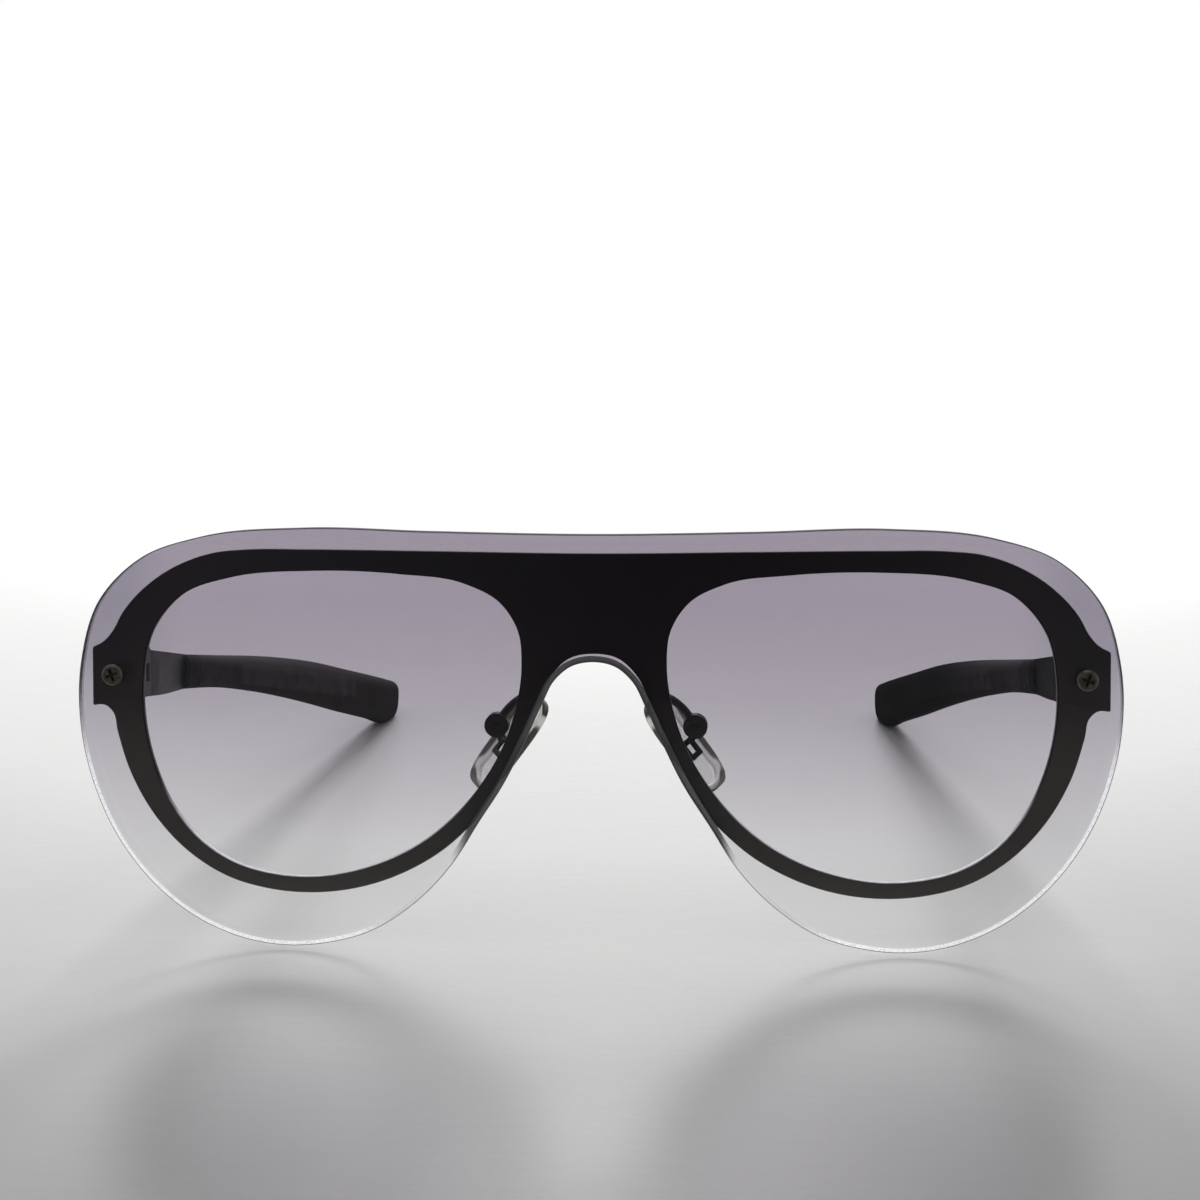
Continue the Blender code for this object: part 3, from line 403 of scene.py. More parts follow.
class Value:
    """A socket of a graph's nodes, on which Python's operators add Math nodes."""

    def __init__(self, graph: "Graph", socket: bpy.types.NodeSocket) -> None:
        """Keeps the socket and the graph that it belongs to."""
        self.graph = graph
        self.socket = socket

    __add__ = __radd__ = _maths("ADD", "This plus the other.")
    __sub__ = _maths("SUBTRACT", "This less the other.")
    __rsub__ = _maths("SUBTRACT", "The other less this.", swapped=True)
    __mul__ = __rmul__ = _maths("MULTIPLY", "This times the other.")
    __pow__ = _maths("POWER", "This to the power of the other.")
    __rpow__ = _maths("POWER", "The other to the power of this.", swapped=True)
    size = _maths("ABSOLUTE", "This without its sign.")
    sine = _maths("SINE", "The sine of this.")
    least = _maths("MINIMUM", "The smaller of this and the other.")
    most = _maths("MAXIMUM", "The larger of this and the other.")

    def rise(self, low: float, high: float) -> "Value":
        """From 0 at low to 1 at high, easing in and out; low may be the larger."""
        if low > high:
            return 1 - self.rise(high, low)
        inputs = {"Value": self, "From Min": low, "From Max": high}
        return self.graph.node("ShaderNodeMapRange", {"interpolation_type": "SMOOTHSTEP"}, inputs)

    def band(self, middle: float, half: float, edge: float) -> "Value":
        """1 within half of the middle and 0 past that by the edge's width."""
        return (self - middle).size().rise(half + edge, half)


class Graph:
    """The nodes of one material or world."""

    def __init__(self, name: str, kind: str = "Material") -> None:
        """Starts a material, or a World, with an output and nothing else."""
        owners = bpy.data.worlds if kind == "World" else bpy.data.materials
        self.owner = owners.new(name)
        self.owner.use_nodes = True
        self.tree = self.owner.node_tree
        self.tree.nodes.clear()
        self.output = self.tree.nodes.new(f"ShaderNodeOutput{kind}")

    def node(self, kind: str, settings: Optional[dict[str, Any]] = None,
             inputs: Optional[dict[Union[int, str], Any]] = None, output: Union[int, str] = 0) -> Value:
        """Adds a node.

        Args:
            kind: Its type, as Blender names it.
            settings: Its properties, which are set first; "stops" are a ramp's places and values.
            inputs: Values, sockets or numbers for its inputs, by name or number.
            output: Which of its outputs is returned.

        Returns:
            The output as a value.
        """
        made = self.tree.nodes.new(kind)
        for key, value in (settings or {}).items():
            if key == "stops":
                self._set_stops(made.color_ramp, value)
            else:
                setattr(made, key, value)
        for key, value in (inputs or {}).items():
            if isinstance(value, Value):
                self.tree.links.new(value.socket, made.inputs[key])
            else:
                made.inputs[key].default_value = value
        return Value(self, made.outputs[output])

    @staticmethod
    def _set_stops(ramp: bpy.types.ColorRamp, stops: Pairs) -> None:
        """Gives a ramp these stops of (place, grey value) and no others."""
        while len(ramp.elements) > 1:
            ramp.elements.remove(ramp.elements[-1])
        for number, (place, value) in enumerate(stops):
            element = ramp.elements[0] if number == 0 else ramp.elements.new(place)
            element.position = place
            element.color = (value, value, value, 1.0)

    def mix(self, share: Term, first: Any, second: Any, blend: str = "MIX") -> Value:
        """The first colour, and its blend with the second where the share is 1."""
        inputs = {0: share, 6: _colour(first), 7: _colour(second)}
        return self.node("ShaderNodeMix", {"data_type": "RGBA", "blend_type": blend}, inputs, 2)

    def layers(self, base: Any, *layers: tuple[Term, Any]) -> Any:
        """The base colour under layers of (share, colour), laid on in order."""
        for share, colour in layers:
            base = self.mix(share, base, colour)
        return base

    def design(self) -> list[Value]:
        """The three axes of the design place of the point, in millimetres of the piece's own frame."""
        place = self.node("ShaderNodeAttribute", {"attribute_name": DESIGN}, output="Vector")
        return [self.node("ShaderNodeSeparateXYZ", None, {0: place}, axis) for axis in "XYZ"]

    def place(self, kind: str = "Object") -> Value:
        """The point's place on the piece, in metres, or another of the coordinates."""
        return self.node("ShaderNodeTexCoord", output=kind)

    def axis(self, axis: str, kind: str = "Object") -> Value:
        """One axis of the place."""
        return self.node("ShaderNodeSeparateXYZ", None, {0: self.place(kind)}, axis)

    def right_side(self) -> Value:
        """One on the right half of the object, nothing on the left."""
        return self.axis("X").rise(-4 * MM, 4 * MM)

    def noise(self, scale: float, detail: float = 3.0, stretch: Optional[Triple] = None) -> Value:
        """Cloudy noise from 0 to 1 at this many cells to a metre, times the stretch along each axis."""
        place = self.place()
        if stretch:
            place = self.node("ShaderNodeVectorMath", {"operation": "MULTIPLY"}, {0: place, 1: stretch})
        inputs = {"Vector": place, "Scale": scale, "Detail": detail, "Roughness": CLOUDINESS}
        return self.node("ShaderNodeTexNoise", None, inputs)

    def bump(self, height: Value, proud: float, strength: float) -> Value:
        """The normal over a relief, whose height of 1 stands this many millimetres proud."""
        inputs = {"Height": height, "Distance": proud * MM, "Strength": strength}
        return self.node("ShaderNodeBump", None, inputs, "Normal")

    def principled(self, **inputs: Any) -> Value:
        """A Principled shader, its inputs by name with underscores for spaces."""
        named = {key.replace("_", " "): _colour(value) for key, value in inputs.items()}
        return self.node("ShaderNodeBsdfPrincipled", None, named, "BSDF")

    def clear(self, colour: Triple) -> Value:
        """A Transparent shader that lets this colour through."""
        return self.node("ShaderNodeBsdfTransparent", None, {"Color": _colour(colour)})

    def blend(self, share: Term, first: Value, second: Value) -> Value:
        """The first shader, and the second where the share is 1."""
        return self.node("ShaderNodeMixShader", None, {0: share, 1: first, 2: second})

    def run(self, place: Value, low: float, high: float, stops: Pairs) -> Value:
        """A value that follows stops of (place from 0 to 1, value), read between low and high."""
        share = self.node("ShaderNodeMapRange", None, {"Value": place, "From Min": low, "From Max": high})
        return self.node("ShaderNodeValToRGB", {"stops": stops}, {0: share})

    def finish(self, shader: Value) -> Any:
        """Sends the shader to the output and returns the material or world."""
        self.tree.links.new(shader.socket, self.output.inputs["Surface"])
        return self.owner

    def solid(self, **inputs: Any) -> Material:
        """The material of one Principled shader."""
        return self.finish(self.principled(**inputs))


def _colour(value: Any) -> Any:
    """A colour of three numbers with its alpha added, and anything else as it is."""
    return (*value, 1.0) if isinstance(value, tuple) and len(value) == 3 else value


def tone(red: float, green: float, blue: float) -> Triple:
    """A colour from 0 to 255 as the screen shows it, made linear by the screen's own curve."""
    shares = [value / 255 for value in (red, green, blue)]
    linear = [s / 12.92 if s <= 0.04045 else ((s + 0.055) / 1.055) ** 2.4 for s in shares]
    return linear[0], linear[1], linear[2]


# Finishes


@dataclass(frozen=True)
class TintedLens:
    """Clear plastic with a purple-grey tint that fades down, and a faint mirror.

    Light meets both faces, so each lets through the root of what the whole lens does.
    """

    top: Triple = (0.572, 0.541, 0.592)
    deep: Triple = (0.525, 0.502, 0.556)
    bottom: Triple = (0.985, 0.985, 0.987)
    sides: Pair = (58.0, 68.0)
    side_height: Pair = (35.0, 42.0)
    fade_height: float = 60.0
    fade: Pairs = (
        (0.0, 1.0), (0.083, 0.985), (0.208, 0.83), (0.25, 0.778), (0.37, 0.59), (0.458, 0.463),
        (0.595, 0.246), (0.70, 0.115), (0.82, 0.01), (1.0, 0.0),
    )
    mirror: float = 0.025
    gloss: Triple = (0.9, 0.9, 0.93)

    def film(self, graph: Graph, across: Value, height: Value) -> Value:
        """Two clear films, the upper giving way to the lower by height, and deeper high at the sides."""
        fade = graph.run(height, 0.0, self.fade_height, self.fade)
        side = across.size().rise(*self.sides) * height.rise(*self.side_height)
        upper = graph.blend(side, graph.clear(self.top), graph.clear(self.deep))
        return graph.blend(fade, upper, graph.clear(self.bottom))

    def material(self) -> Material:
        """The films under a share of gloss."""
        graph = Graph("tinted_lens")
        across, _, height = graph.design()
        dust = graph.noise(900.0, 4.0).rise(0.60, 0.78)
        gloss = graph.principled(Base_Color=self.gloss, Metallic=1.0, Roughness=0.03 + 0.05 * dust)
        return graph.finish(graph.blend(self.mirror, self.film(graph, across, height), gloss))


@dataclass(frozen=True)
class CutEdge:
    """The lens's cut wall or the face beside it: coats that hide the lens's own films by shares of their own.

    Attributes:
        frost: How white and beaded it is low on the lobes' outer sides, where it gathers light.
        high: How dark it is above the lobes, on the front half of the wall and less behind it at the corners.
        line: How dark its thin line at the front corner is lower down.
        notch: How dark it is round the nose notch.
    """

    name: str = "lens_cut_edge"
    frost: float = 0.0
    high: float = 0.9
    line: float = 0.6
    notch: float = 0.93
    dark: Triple = tone(66, 65, 68)
    white: Triple = tone(250, 251, 254)
    bead: Triple = tone(160, 162, 172)
    painted_glow_height: Pair = (37.0, 24.0)
    painted_glow_across: Pair = (22.0, 36.0)
    notch_height: Pair = (50.0, 46.0)
    notch_across: Pair = (20.5, 17.5)
    dark_height: Pair = (26.0, 40.0)
    lens: TintedLens = TintedLens()

    def material(self) -> Material:
        """A dark coat and a frosted one, each in its own places."""
        graph = Graph(self.name)
        across, depth, height = graph.design()
        wide = across.size()
        # The lobes' lower outer sides, where the frosting carries the painted highlight and glow.
        bottom = height.rise(*self.painted_glow_height) * wide.rise(*self.painted_glow_across)
        notch = wide.rise(*self.notch_across) * height.rise(*self.notch_height)
        corner = 0.45 * wide.rise(36.0, 48.0) * depth.rise(1.99, 1.9)
        dark = self.high * height.rise(*self.dark_height) * depth.rise(1.5, 1.2).most(corner)
        dark = dark.most(self.line * depth.rise(0.35, 0.15)).most(self.notch * notch)
        beads = graph.noise(4200.0, 2.0, (1.0, 0.1, 1.0))
        frosted = graph.mix(beads.rise(0.42, 0.66) * 0.45, self.white, self.bead)
        frost = bottom * self.frost
        # The frosted white and its emission are a painted highlight that glows for light the wall gathers.
        coat = graph.principled(
            Base_Color=graph.mix(frost, self.dark, frosted), Roughness=0.42 + 0.2 * beads,
            Emission_Color=graph.mix(frost, UNLIT, frosted), Emission_Strength=0.7,
            Normal=graph.bump(beads, 0.03, 0.6),
        )
        return graph.finish(graph.blend(dark.most(frost * 0.55), self.lens.film(graph, across, height), coat))


@dataclass(frozen=True)
class SatinBlack:
    """Satin black coat on the plate: a little brown low down, paler at the sides and deeper black behind."""

    top: Triple = tone(66, 63, 58)
    bottom: Triple = tone(60, 57, 50)
    sides: Triple = tone(100, 96, 84)
    pale: Triple = tone(76, 73, 68)
    behind: Triple = tone(34, 33, 32)
    side_across: Pair = (40.0, 66.0)
    side_height: Pair = (14.0, 30.0)

    def material(self) -> Material:
        """A dark coat that follows the height, with a fine orange-peel relief."""
        graph = Graph("satin_black_plate")
        across, depth, height = graph.design()
        cloud = graph.noise(130.0)
        # The front's colours are painted light: paler than the black behind, for the shade of the tinted
        # lens, and paler still at the sides.
        base = graph.layers(
            self.top,
            (height.rise(44.0, 12.0), self.bottom),
            (across.size().rise(*self.side_across) * height.rise(*self.side_height) * 0.9, self.sides),
            (cloud.rise(0.4, 0.75) * 0.25, self.pale),
            (depth.rise(0.4, 0.8), self.behind),
        )
        peel = graph.bump(graph.noise(5200.0, 2.0), 0.002, 0.3)
        rough = 0.34 + 0.12 * cloud
        return graph.solid(Base_Color=base, Roughness=rough, Specular_IOR_Level=0.45, Normal=peel)


@dataclass(frozen=True)
class EdgeWearAndPaintedLight:
    """The plate's cut wall: bronze where the coat is thin outside, and bare metal low in the windows."""

    name: str = "plate_edge"
    low: Triple = tone(124, 112, 100)
    high: Triple = tone(150, 142, 134)
    grime: Triple = tone(34, 31, 32)
    change: Pair = (13.0, 24.0)

    def material(self) -> Material:
        """A metal that follows the height, with a finer grain along the wall."""
        graph = Graph(self.name)
        height = graph.design()[2]
        grain = graph.noise(900.0, 3.0, (1.0, 6.0, 1.0))
        # On the windows' wall, low is a painted near-white highlight and high a dark blue-violet.
        base = graph.layers(
            self.low, (height.rise(*self.change), self.high), (grain.rise(0.35, 0.7) * 0.3, self.grime))
        relief = graph.bump(grain, 0.01, 0.4)
        return graph.solid(Base_Color=base, Roughness=0.26 + 0.14 * grain, Metallic=0.9, Normal=relief)


@dataclass(frozen=True)
class Gunmetal:
    """Dark satin metal of the temples and brackets, brushed along one axis, duller on the right."""

    pale: Triple = tone(92, 91, 90)
    dark: Triple = tone(60, 61, 58)
    streak: Triple = tone(100, 98, 96)
    shaded: Triple = tone(24, 24, 23)
    painted_shade_right: Triple = tone(14, 14, 13)
    stretch: Triple = (40.0, 1.5, 40.0)
    arm_start: Triple = (0.0, 8.5, 0.0)

    def material(self) -> Material:
        """A metal whose tone and relief follow long brush lines, with paler rubbed places."""
        graph = Graph("gunmetal")
        brush = graph.noise(60.0, 4.0, self.stretch)
        cloud = graph.noise(160.0, 2.0)
        # Painted shade: the right-hand pieces are darker, and rougher too.
        painted_shade_right = graph.right_side() * 0.9
        along = graph.axis("Y") - float(STANCE.line.world(np.array([self.arm_start]))[0][1])
        base = graph.layers(
            self.pale,
            (cloud.rise(0.35, 0.7), self.dark),
            (brush.rise(0.3, 0.8) * 0.35, self.streak),
            # Painted shadow of the plate and hinge: darker at the arms' front ends.
            (along.rise(1.5 * MM, -1.0 * MM) * 0.6, self.shaded),
            (painted_shade_right * 0.85, self.painted_shade_right),
        )
        rough = 0.36 + 0.16 * brush + 0.4 * painted_shade_right
        relief = graph.bump(brush, 0.01, 0.35)
        return graph.solid(Base_Color=base, Roughness=rough, Metallic=0.75, Normal=relief)


@dataclass(frozen=True)
class ScrewSteel:
    """Blackened screw steel: turned rings about the lens screws' axis and a rubbed rim, or a dark recess."""

    name: str = "screw_steel"
    base: Triple = tone(70, 68, 60)
    rim: Triple = tone(132, 128, 118)
    ring: Pair = (1.3, 1.5)
    pitch: float = 0.11
    head: Triple = (0.0, -0.45, 0.0)

    def material(self) -> Material:
        """A dark metal that follows the distance from the axis: the root of the squares of x and z."""
        graph = Graph(self.name)
        middle = STANCE.end.world(np.array([self.head]))[0] / MM
        across = graph.axis("X").size() * 1000 - float(middle[0])
        height = graph.axis("Z") * 1000 - float(middle[2])
        radius = (across * across + height * height) ** 0.5
        turned = (radius * (2 * math.pi / self.pitch)).sine() * 0.5 + 0.5
        spots = graph.noise(1500.0)
        wear = graph.noise(800.0, 2.0).rise(0.36, 0.6)
        low, high = self.ring
        # The ring near the rim is a painted highlight, broken up by the wear noise.
        rim_highlight = radius.rise(low - 0.08, low + 0.08) * radius.rise(high + 0.05, high - 0.02)
        share = (0.3 * spots.rise(0.4, 0.65) + 0.1 * turned + rim_highlight * (0.25 + 0.55 * wear)).least(1.0)
        return graph.solid(
            Base_Color=graph.mix(share, self.base, self.rim), Roughness=0.30 + 0.2 * spots, Metallic=0.85,
            Normal=graph.bump(turned * 0.4 + spots * 0.6, 0.01, 0.4),
        )


@dataclass(frozen=True)
class MatteNylon:
    """Grey nylon of the bushes."""

    dark: Triple = tone(58, 58, 58)
    pale: Triple = tone(74, 74, 73)

    def material(self) -> Material:
        """A matt plastic with a slight mottling."""
        graph = Graph("bush_nylon")
        spots = graph.noise(1200.0, 2.0)
        return graph.solid(Base_Color=graph.mix(spots, self.dark, self.pale), Roughness=0.55 + 0.15 * spots)


@dataclass(frozen=True)
class MatteRubber:
    """Black soft-touch rubber of the sleeves: inside paler and dusty near the arm and along the top edge."""

    near: Triple = tone(72, 70, 71)
    far: Triple = tone(52, 50, 49)
    panel: Triple = tone(82, 80, 80)
    patch: Triple = tone(26, 26, 24)
    cloudy: Triple = tone(60, 58, 56)
    top_dust_and_sheen: Triple = tone(112, 109, 109)
    right: Triple = tone(12, 12, 12)
    outside: tuple[Triple, Triple] = (tone(30, 30, 29), tone(38, 37, 36))
    dust: Triple = tone(170, 168, 164)

    def material(self) -> Material:
        """A matt black whose relief is a fine grain, with specks and patches of dust and a dusty top."""
        graph = Graph("matte_rubber")
        across, along, height = graph.design()
        grain = graph.noise(3200.0)
        cloud = graph.noise(90.0)
        inputs = {"Vector": graph.place(), "Scale": 520.0}
        cells = graph.node("ShaderNodeTexVoronoi", None, inputs, "Distance")
        patches = graph.noise(330.0).rise(0.40, 0.68)
        base = graph.layers(
            self.near,
            (along.rise(24.0, 44.0), self.far),
            (along.rise(39.0, 41.0) * along.rise(98.0, 96.0) * height.band(1.6, 1.5, 0.5) * 0.6, self.panel),
            (patches * 0.45, self.patch),
            (cloud.rise(0.35, 0.8) * 0.3, self.cloudy),
            # Dust and a painted sheen: the top edge paler, most near the arm.
            (height.rise(1.8, 4.4) * (0.8 - 0.4 * along.rise(30.0, 100.0)), self.top_dust_and_sheen),
            # Painted shade: the right sleeve darker towards the tip.
            (graph.right_side() * along.rise(28.0, 78.0) * 0.9, self.right),
            (across.size().rise(1.1, 2.4), graph.mix(cloud, *self.outside)),
            (cells.rise(0.085, 0.04) * cloud.rise(0.45, 0.62) * 0.45, self.dust),
        )
        rough, relief = 0.84 + 0.14 * grain, graph.bump(grain, 0.02, 0.5)
        return graph.solid(Base_Color=base, Roughness=rough, Normal=relief, Specular_IOR_Level=0.03)


@dataclass(frozen=True)
class ClearSilicone:
    """Clear nose-pad silicone, see-through in the middle and frosted olive-grey round the rim."""

    half_length: float = 8.0
    half_width: float = 3.4
    corner: float = 3.0
    middle: Triple = tone(255, 255, 254)
    frosted: Triple = tone(186, 183, 168)
    outline: Triple = tone(66, 64, 55)
    glint: Triple = tone(255, 255, 252)

    def material(self) -> Material:
        """A shader that follows the depth inside the outline, taken as a rectangle with round corners.

        The depth is the corner's radius less the root of the squares of how far the place is past each side's
        straight part.
        """
        graph = Graph("clear_silicone")
        _, across, along = graph.design()
        wide = (across.size() - (self.half_width - self.corner)).most(0.0)
        long = (along.size() - (self.half_length - self.corner)).most(0.0)
        inside = self.corner - (wide * wide + long * long) ** 0.5
        rim = inside.rise(0.85, 0.7)
        line = inside.rise(0.2, 0.08)
        # Painted highlights: a whiter band towards the rim, and a thin glint just inside it that glows.
        glow = inside.rise(2.6, 0.9)
        shine = inside.band(1.02, 0.12, 0.1)
        haze = graph.noise(700.0)
        solid = 0.1 + 0.05 * haze + 0.04 * glow + 0.2 * shine + 0.4 * rim + 0.42 * line
        return graph.solid(
            Base_Color=graph.layers(self.middle, (rim, self.frosted), (line, self.outline)),
            Roughness=0.16 + 0.16 * haze, Alpha=solid.least(1.0), IOR=1.41,
            Emission_Color=graph.mix(shine, UNLIT, self.glint), Emission_Strength=0.5,
            Normal=graph.bump(haze, 0.03, 0.1),
        )


@dataclass(frozen=True)
class BrushedFloor:
    """The pale table top: matt under a brushed sheen, which mirrors the white behind the glasses."""

    near: float = -0.18
    far: float = 0.30
    middle: float = -0.012
    bow: float = 5.1
    pale: Pairs = (
        (0.0, 0.39), (0.083, 0.484), (0.16, 0.602), (0.235, 0.676), (0.331, 0.751), (0.5, 0.757),
        (0.625, 0.79), (0.73, 0.77), (0.81, 0.735), (1.0, 0.70),
    )
    patch: float = 0.018
    fade: Pair = (0.17, 0.298)

    def material(self) -> Material:
        """Grey that pales with a distance that bows back at the sides, and fades out near the far end."""
        graph = Graph("brushed_floor")
        back = graph.axis("Y")
        across = graph.axis("X") - self.middle
        streak = graph.noise(90.0, 4.0, (1.0, 9.0, 1.0))
        mottle = graph.noise(620.0, 3.0, (1.0, 2.2, 1.0))
        # Painted falloff of the light: darker towards the camera and the sides.
        pale = graph.run(back - self.bow * across * across, self.near, self.far, self.pale)
        rough = graph.mix(0.5 * streak + 0.5 * mottle, (0.93, 0.93, 0.92), (1.07, 1.07, 1.07))
        # Painted light: a paler patch near the camera, between the shadows of the two lobes.
        near = (across - self.patch).size().rise(0.045, 0.004) * back.rise(-0.105, -0.142)
        table = graph.principled(
            Base_Color=graph.mix(1.0, pale * (1.0 + 0.3 * near), rough, "MULTIPLY"),
            Metallic=0.16 + 0.34 * back.rise(-0.01, -0.10), Roughness=0.27 + 0.06 * mottle,
            Specular_IOR_Level=0.0, Normal=graph.bump(mottle, 0.03, 0.3),
        )
        return graph.finish(graph.blend(back.rise(*self.fade), table, graph.clear((1.0, 1.0, 1.0))))


def made_by(recipe: Any) -> Any:
    """A field that holds the material of a recipe."""
    return field(default_factory=recipe.material)


@dataclass
class Finishes:
    """Every material of the glasses, made once."""

    lens: Material = made_by(TintedLens())
    lens_edge: Material = made_by(CutEdge())
    # The face beside the lens's wall: frosting with a painted highlight that glows, low on the lobes' outer
    # sides.
    lens_rim_painted_glow: Material = made_by(CutEdge("lens_rim_painted_glow", 1.0, 0.0, 0.0))
    lens_notch: Material = made_by(CutEdge("lens_notch", 0.0, 0.0, 0.0))
    plate: Material = made_by(SatinBlack())
    plate_edge: Material = made_by(EdgeWearAndPaintedLight())
    # The windows' wall: a painted highlight, near-white, low down, and dark blue-violet higher up.
    window_edge_painted_highlight: Material = made_by(EdgeWearAndPaintedLight("window_edge_painted_highlight", tone(252, 253, 255), tone(34, 36, 48)))
    metal: Material = made_by(Gunmetal())
    screw: Material = made_by(ScrewSteel())
    # The cross recess: a darker copy of the screw steel, painted shade in the recess.
    recess: Material = made_by(ScrewSteel("screw_recess_painted_shade", tone(40, 39, 33), tone(96, 92, 78)))
    nylon: Material = made_by(MatteNylon())
    sleeve: Material = made_by(MatteRubber())
    pad: Material = made_by(ClearSilicone())


# The front


@dataclass(frozen=True)
class ShieldLens:
    """The one-piece lens: a plate on a shallow cylinder, with two lobes and a nose notch."""

    half: Pairs = (
        (0.0, 58.95), (23.0, 59.3), (41.2, 59.7), (55.9, 58.35), (64.05, 55.55), (70.65, 49.2), (73.45, 40.5),
        (73.75, 31.5), (72.0, 22.95), (68.45, 15.05), (63.15, 8.35), (56.3, 3.3), (48.5, 0.5), (43.2, 0.0),
        (37.5, 0.6), (32.15, 2.15), (25.5, 6.4), (20.3, 11.8), (16.4, 17.9), (12.65, 23.75), (9.8, 29.45),
        (7.2, 35.1), (5.6, 38.25), (3.0, 40.5), (0.0, 41.1),
    )
    edge: Pairs = (
        (0.9, 0.0), (0.68, 0.0), (0.16, 0.0), (0.05, 0.04), (0.0, 0.15), (0.0, 1.0), (0.0, 1.85),
        (0.05, 1.96), (0.16, 2.0), (0.68, 2.0), (0.9, 2.0),
    )
    stations: int = 440
    rows: int = 22
    steps: int = 24
    crease: float = 50.0

    def surface(self) -> Surface:
        """The lens as loops at stations across it.

        Stations lie at the half width times the sine of even angles, which packs them towards the sides. At
        each, a loop goes over the upper edge's rounded profile, down the back, round the lower edge and up
        the front. Each profile point follows the outline drawn in by its own inset.

        Returns:
            The lens's surface, with its cut wall in the second material slot, the face beside it in the third
            and a strip past that in the fourth.
        """
        outline = smooth_curve([*self.half, *mirror_points(self.half[1:-1])], self.steps, closed=True)
        normals = inward_normals(outline)
        sine = np.sin(np.linspace(-math.pi / 2, math.pi / 2, self.stations))
        upper, lower = [], []
        for inset, depth in self.edge:
            ring = outline + inset * normals
            left, right = int(ring[:, 0].argmin()), int(ring[:, 0].argmax())
            x = ring[left, 0] * np.maximum(-sine, 0) + ring[right, 0] * np.maximum(sine, 0)
            rolled = np.roll(ring, -left, 0)
            turn = (right - left) % len(ring)
            over = rolled[:turn + 1]
            under = np.concatenate([rolled[turn:], rolled[:1]])[::-1]
            upper.append(np.stack([x, np.interp(x, over[:, 0], over[:, 1]), np.full_like(x, depth)], -1))
            lower.append(np.stack([x, np.interp(x, under[:, 0], under[:, 1]), np.full_like(x, depth)], -1))
        share = (np.arange(1, self.rows) / self.rows)[:, None, None]
        back = upper[-1] + (lower[-1] - upper[-1]) * share
        front = lower[0] + (upper[0] - lower[0]) * share
        loop = np.concatenate([np.stack(upper), back, np.stack(lower[::-1]), front])
        points = bent(loop[..., 0], loop[..., 1], loop[..., 2], 0.0)
        count = len(self.edge)
        marks = np.zeros(len(loop), int)
        low = count + self.rows - 1
        # From the front face over the edge: the strip, the face beside the wall, the wall, and the back face.
        edge = np.array((3, 2) + (1,) * (count - 5) + (0, 0))
        marks[:count - 1] = edge
        marks[low:low + count - 1] = edge[::-1]
        faces = grid_faces(len(loop) + 1, self.stations) % (len(loop) * self.stations)
        design = loop[..., [0, 2, 1]].reshape(-1, 3)
        marks = np.repeat(marks, self.stations - 1)
        return Surface(STANCE.front.world(points.reshape(-1, 3)), design, faces, marks)

    def build(self, finishes: Finishes) -> None:
        """Makes the lens and sets it in place of its node."""
        slots = [finishes.lens, finishes.lens_edge, finishes.lens_rim_painted_glow, finishes.lens_notch]
        settle(write_mesh("lens", self.surface(), slots, self.crease), "front", "shield_lens")


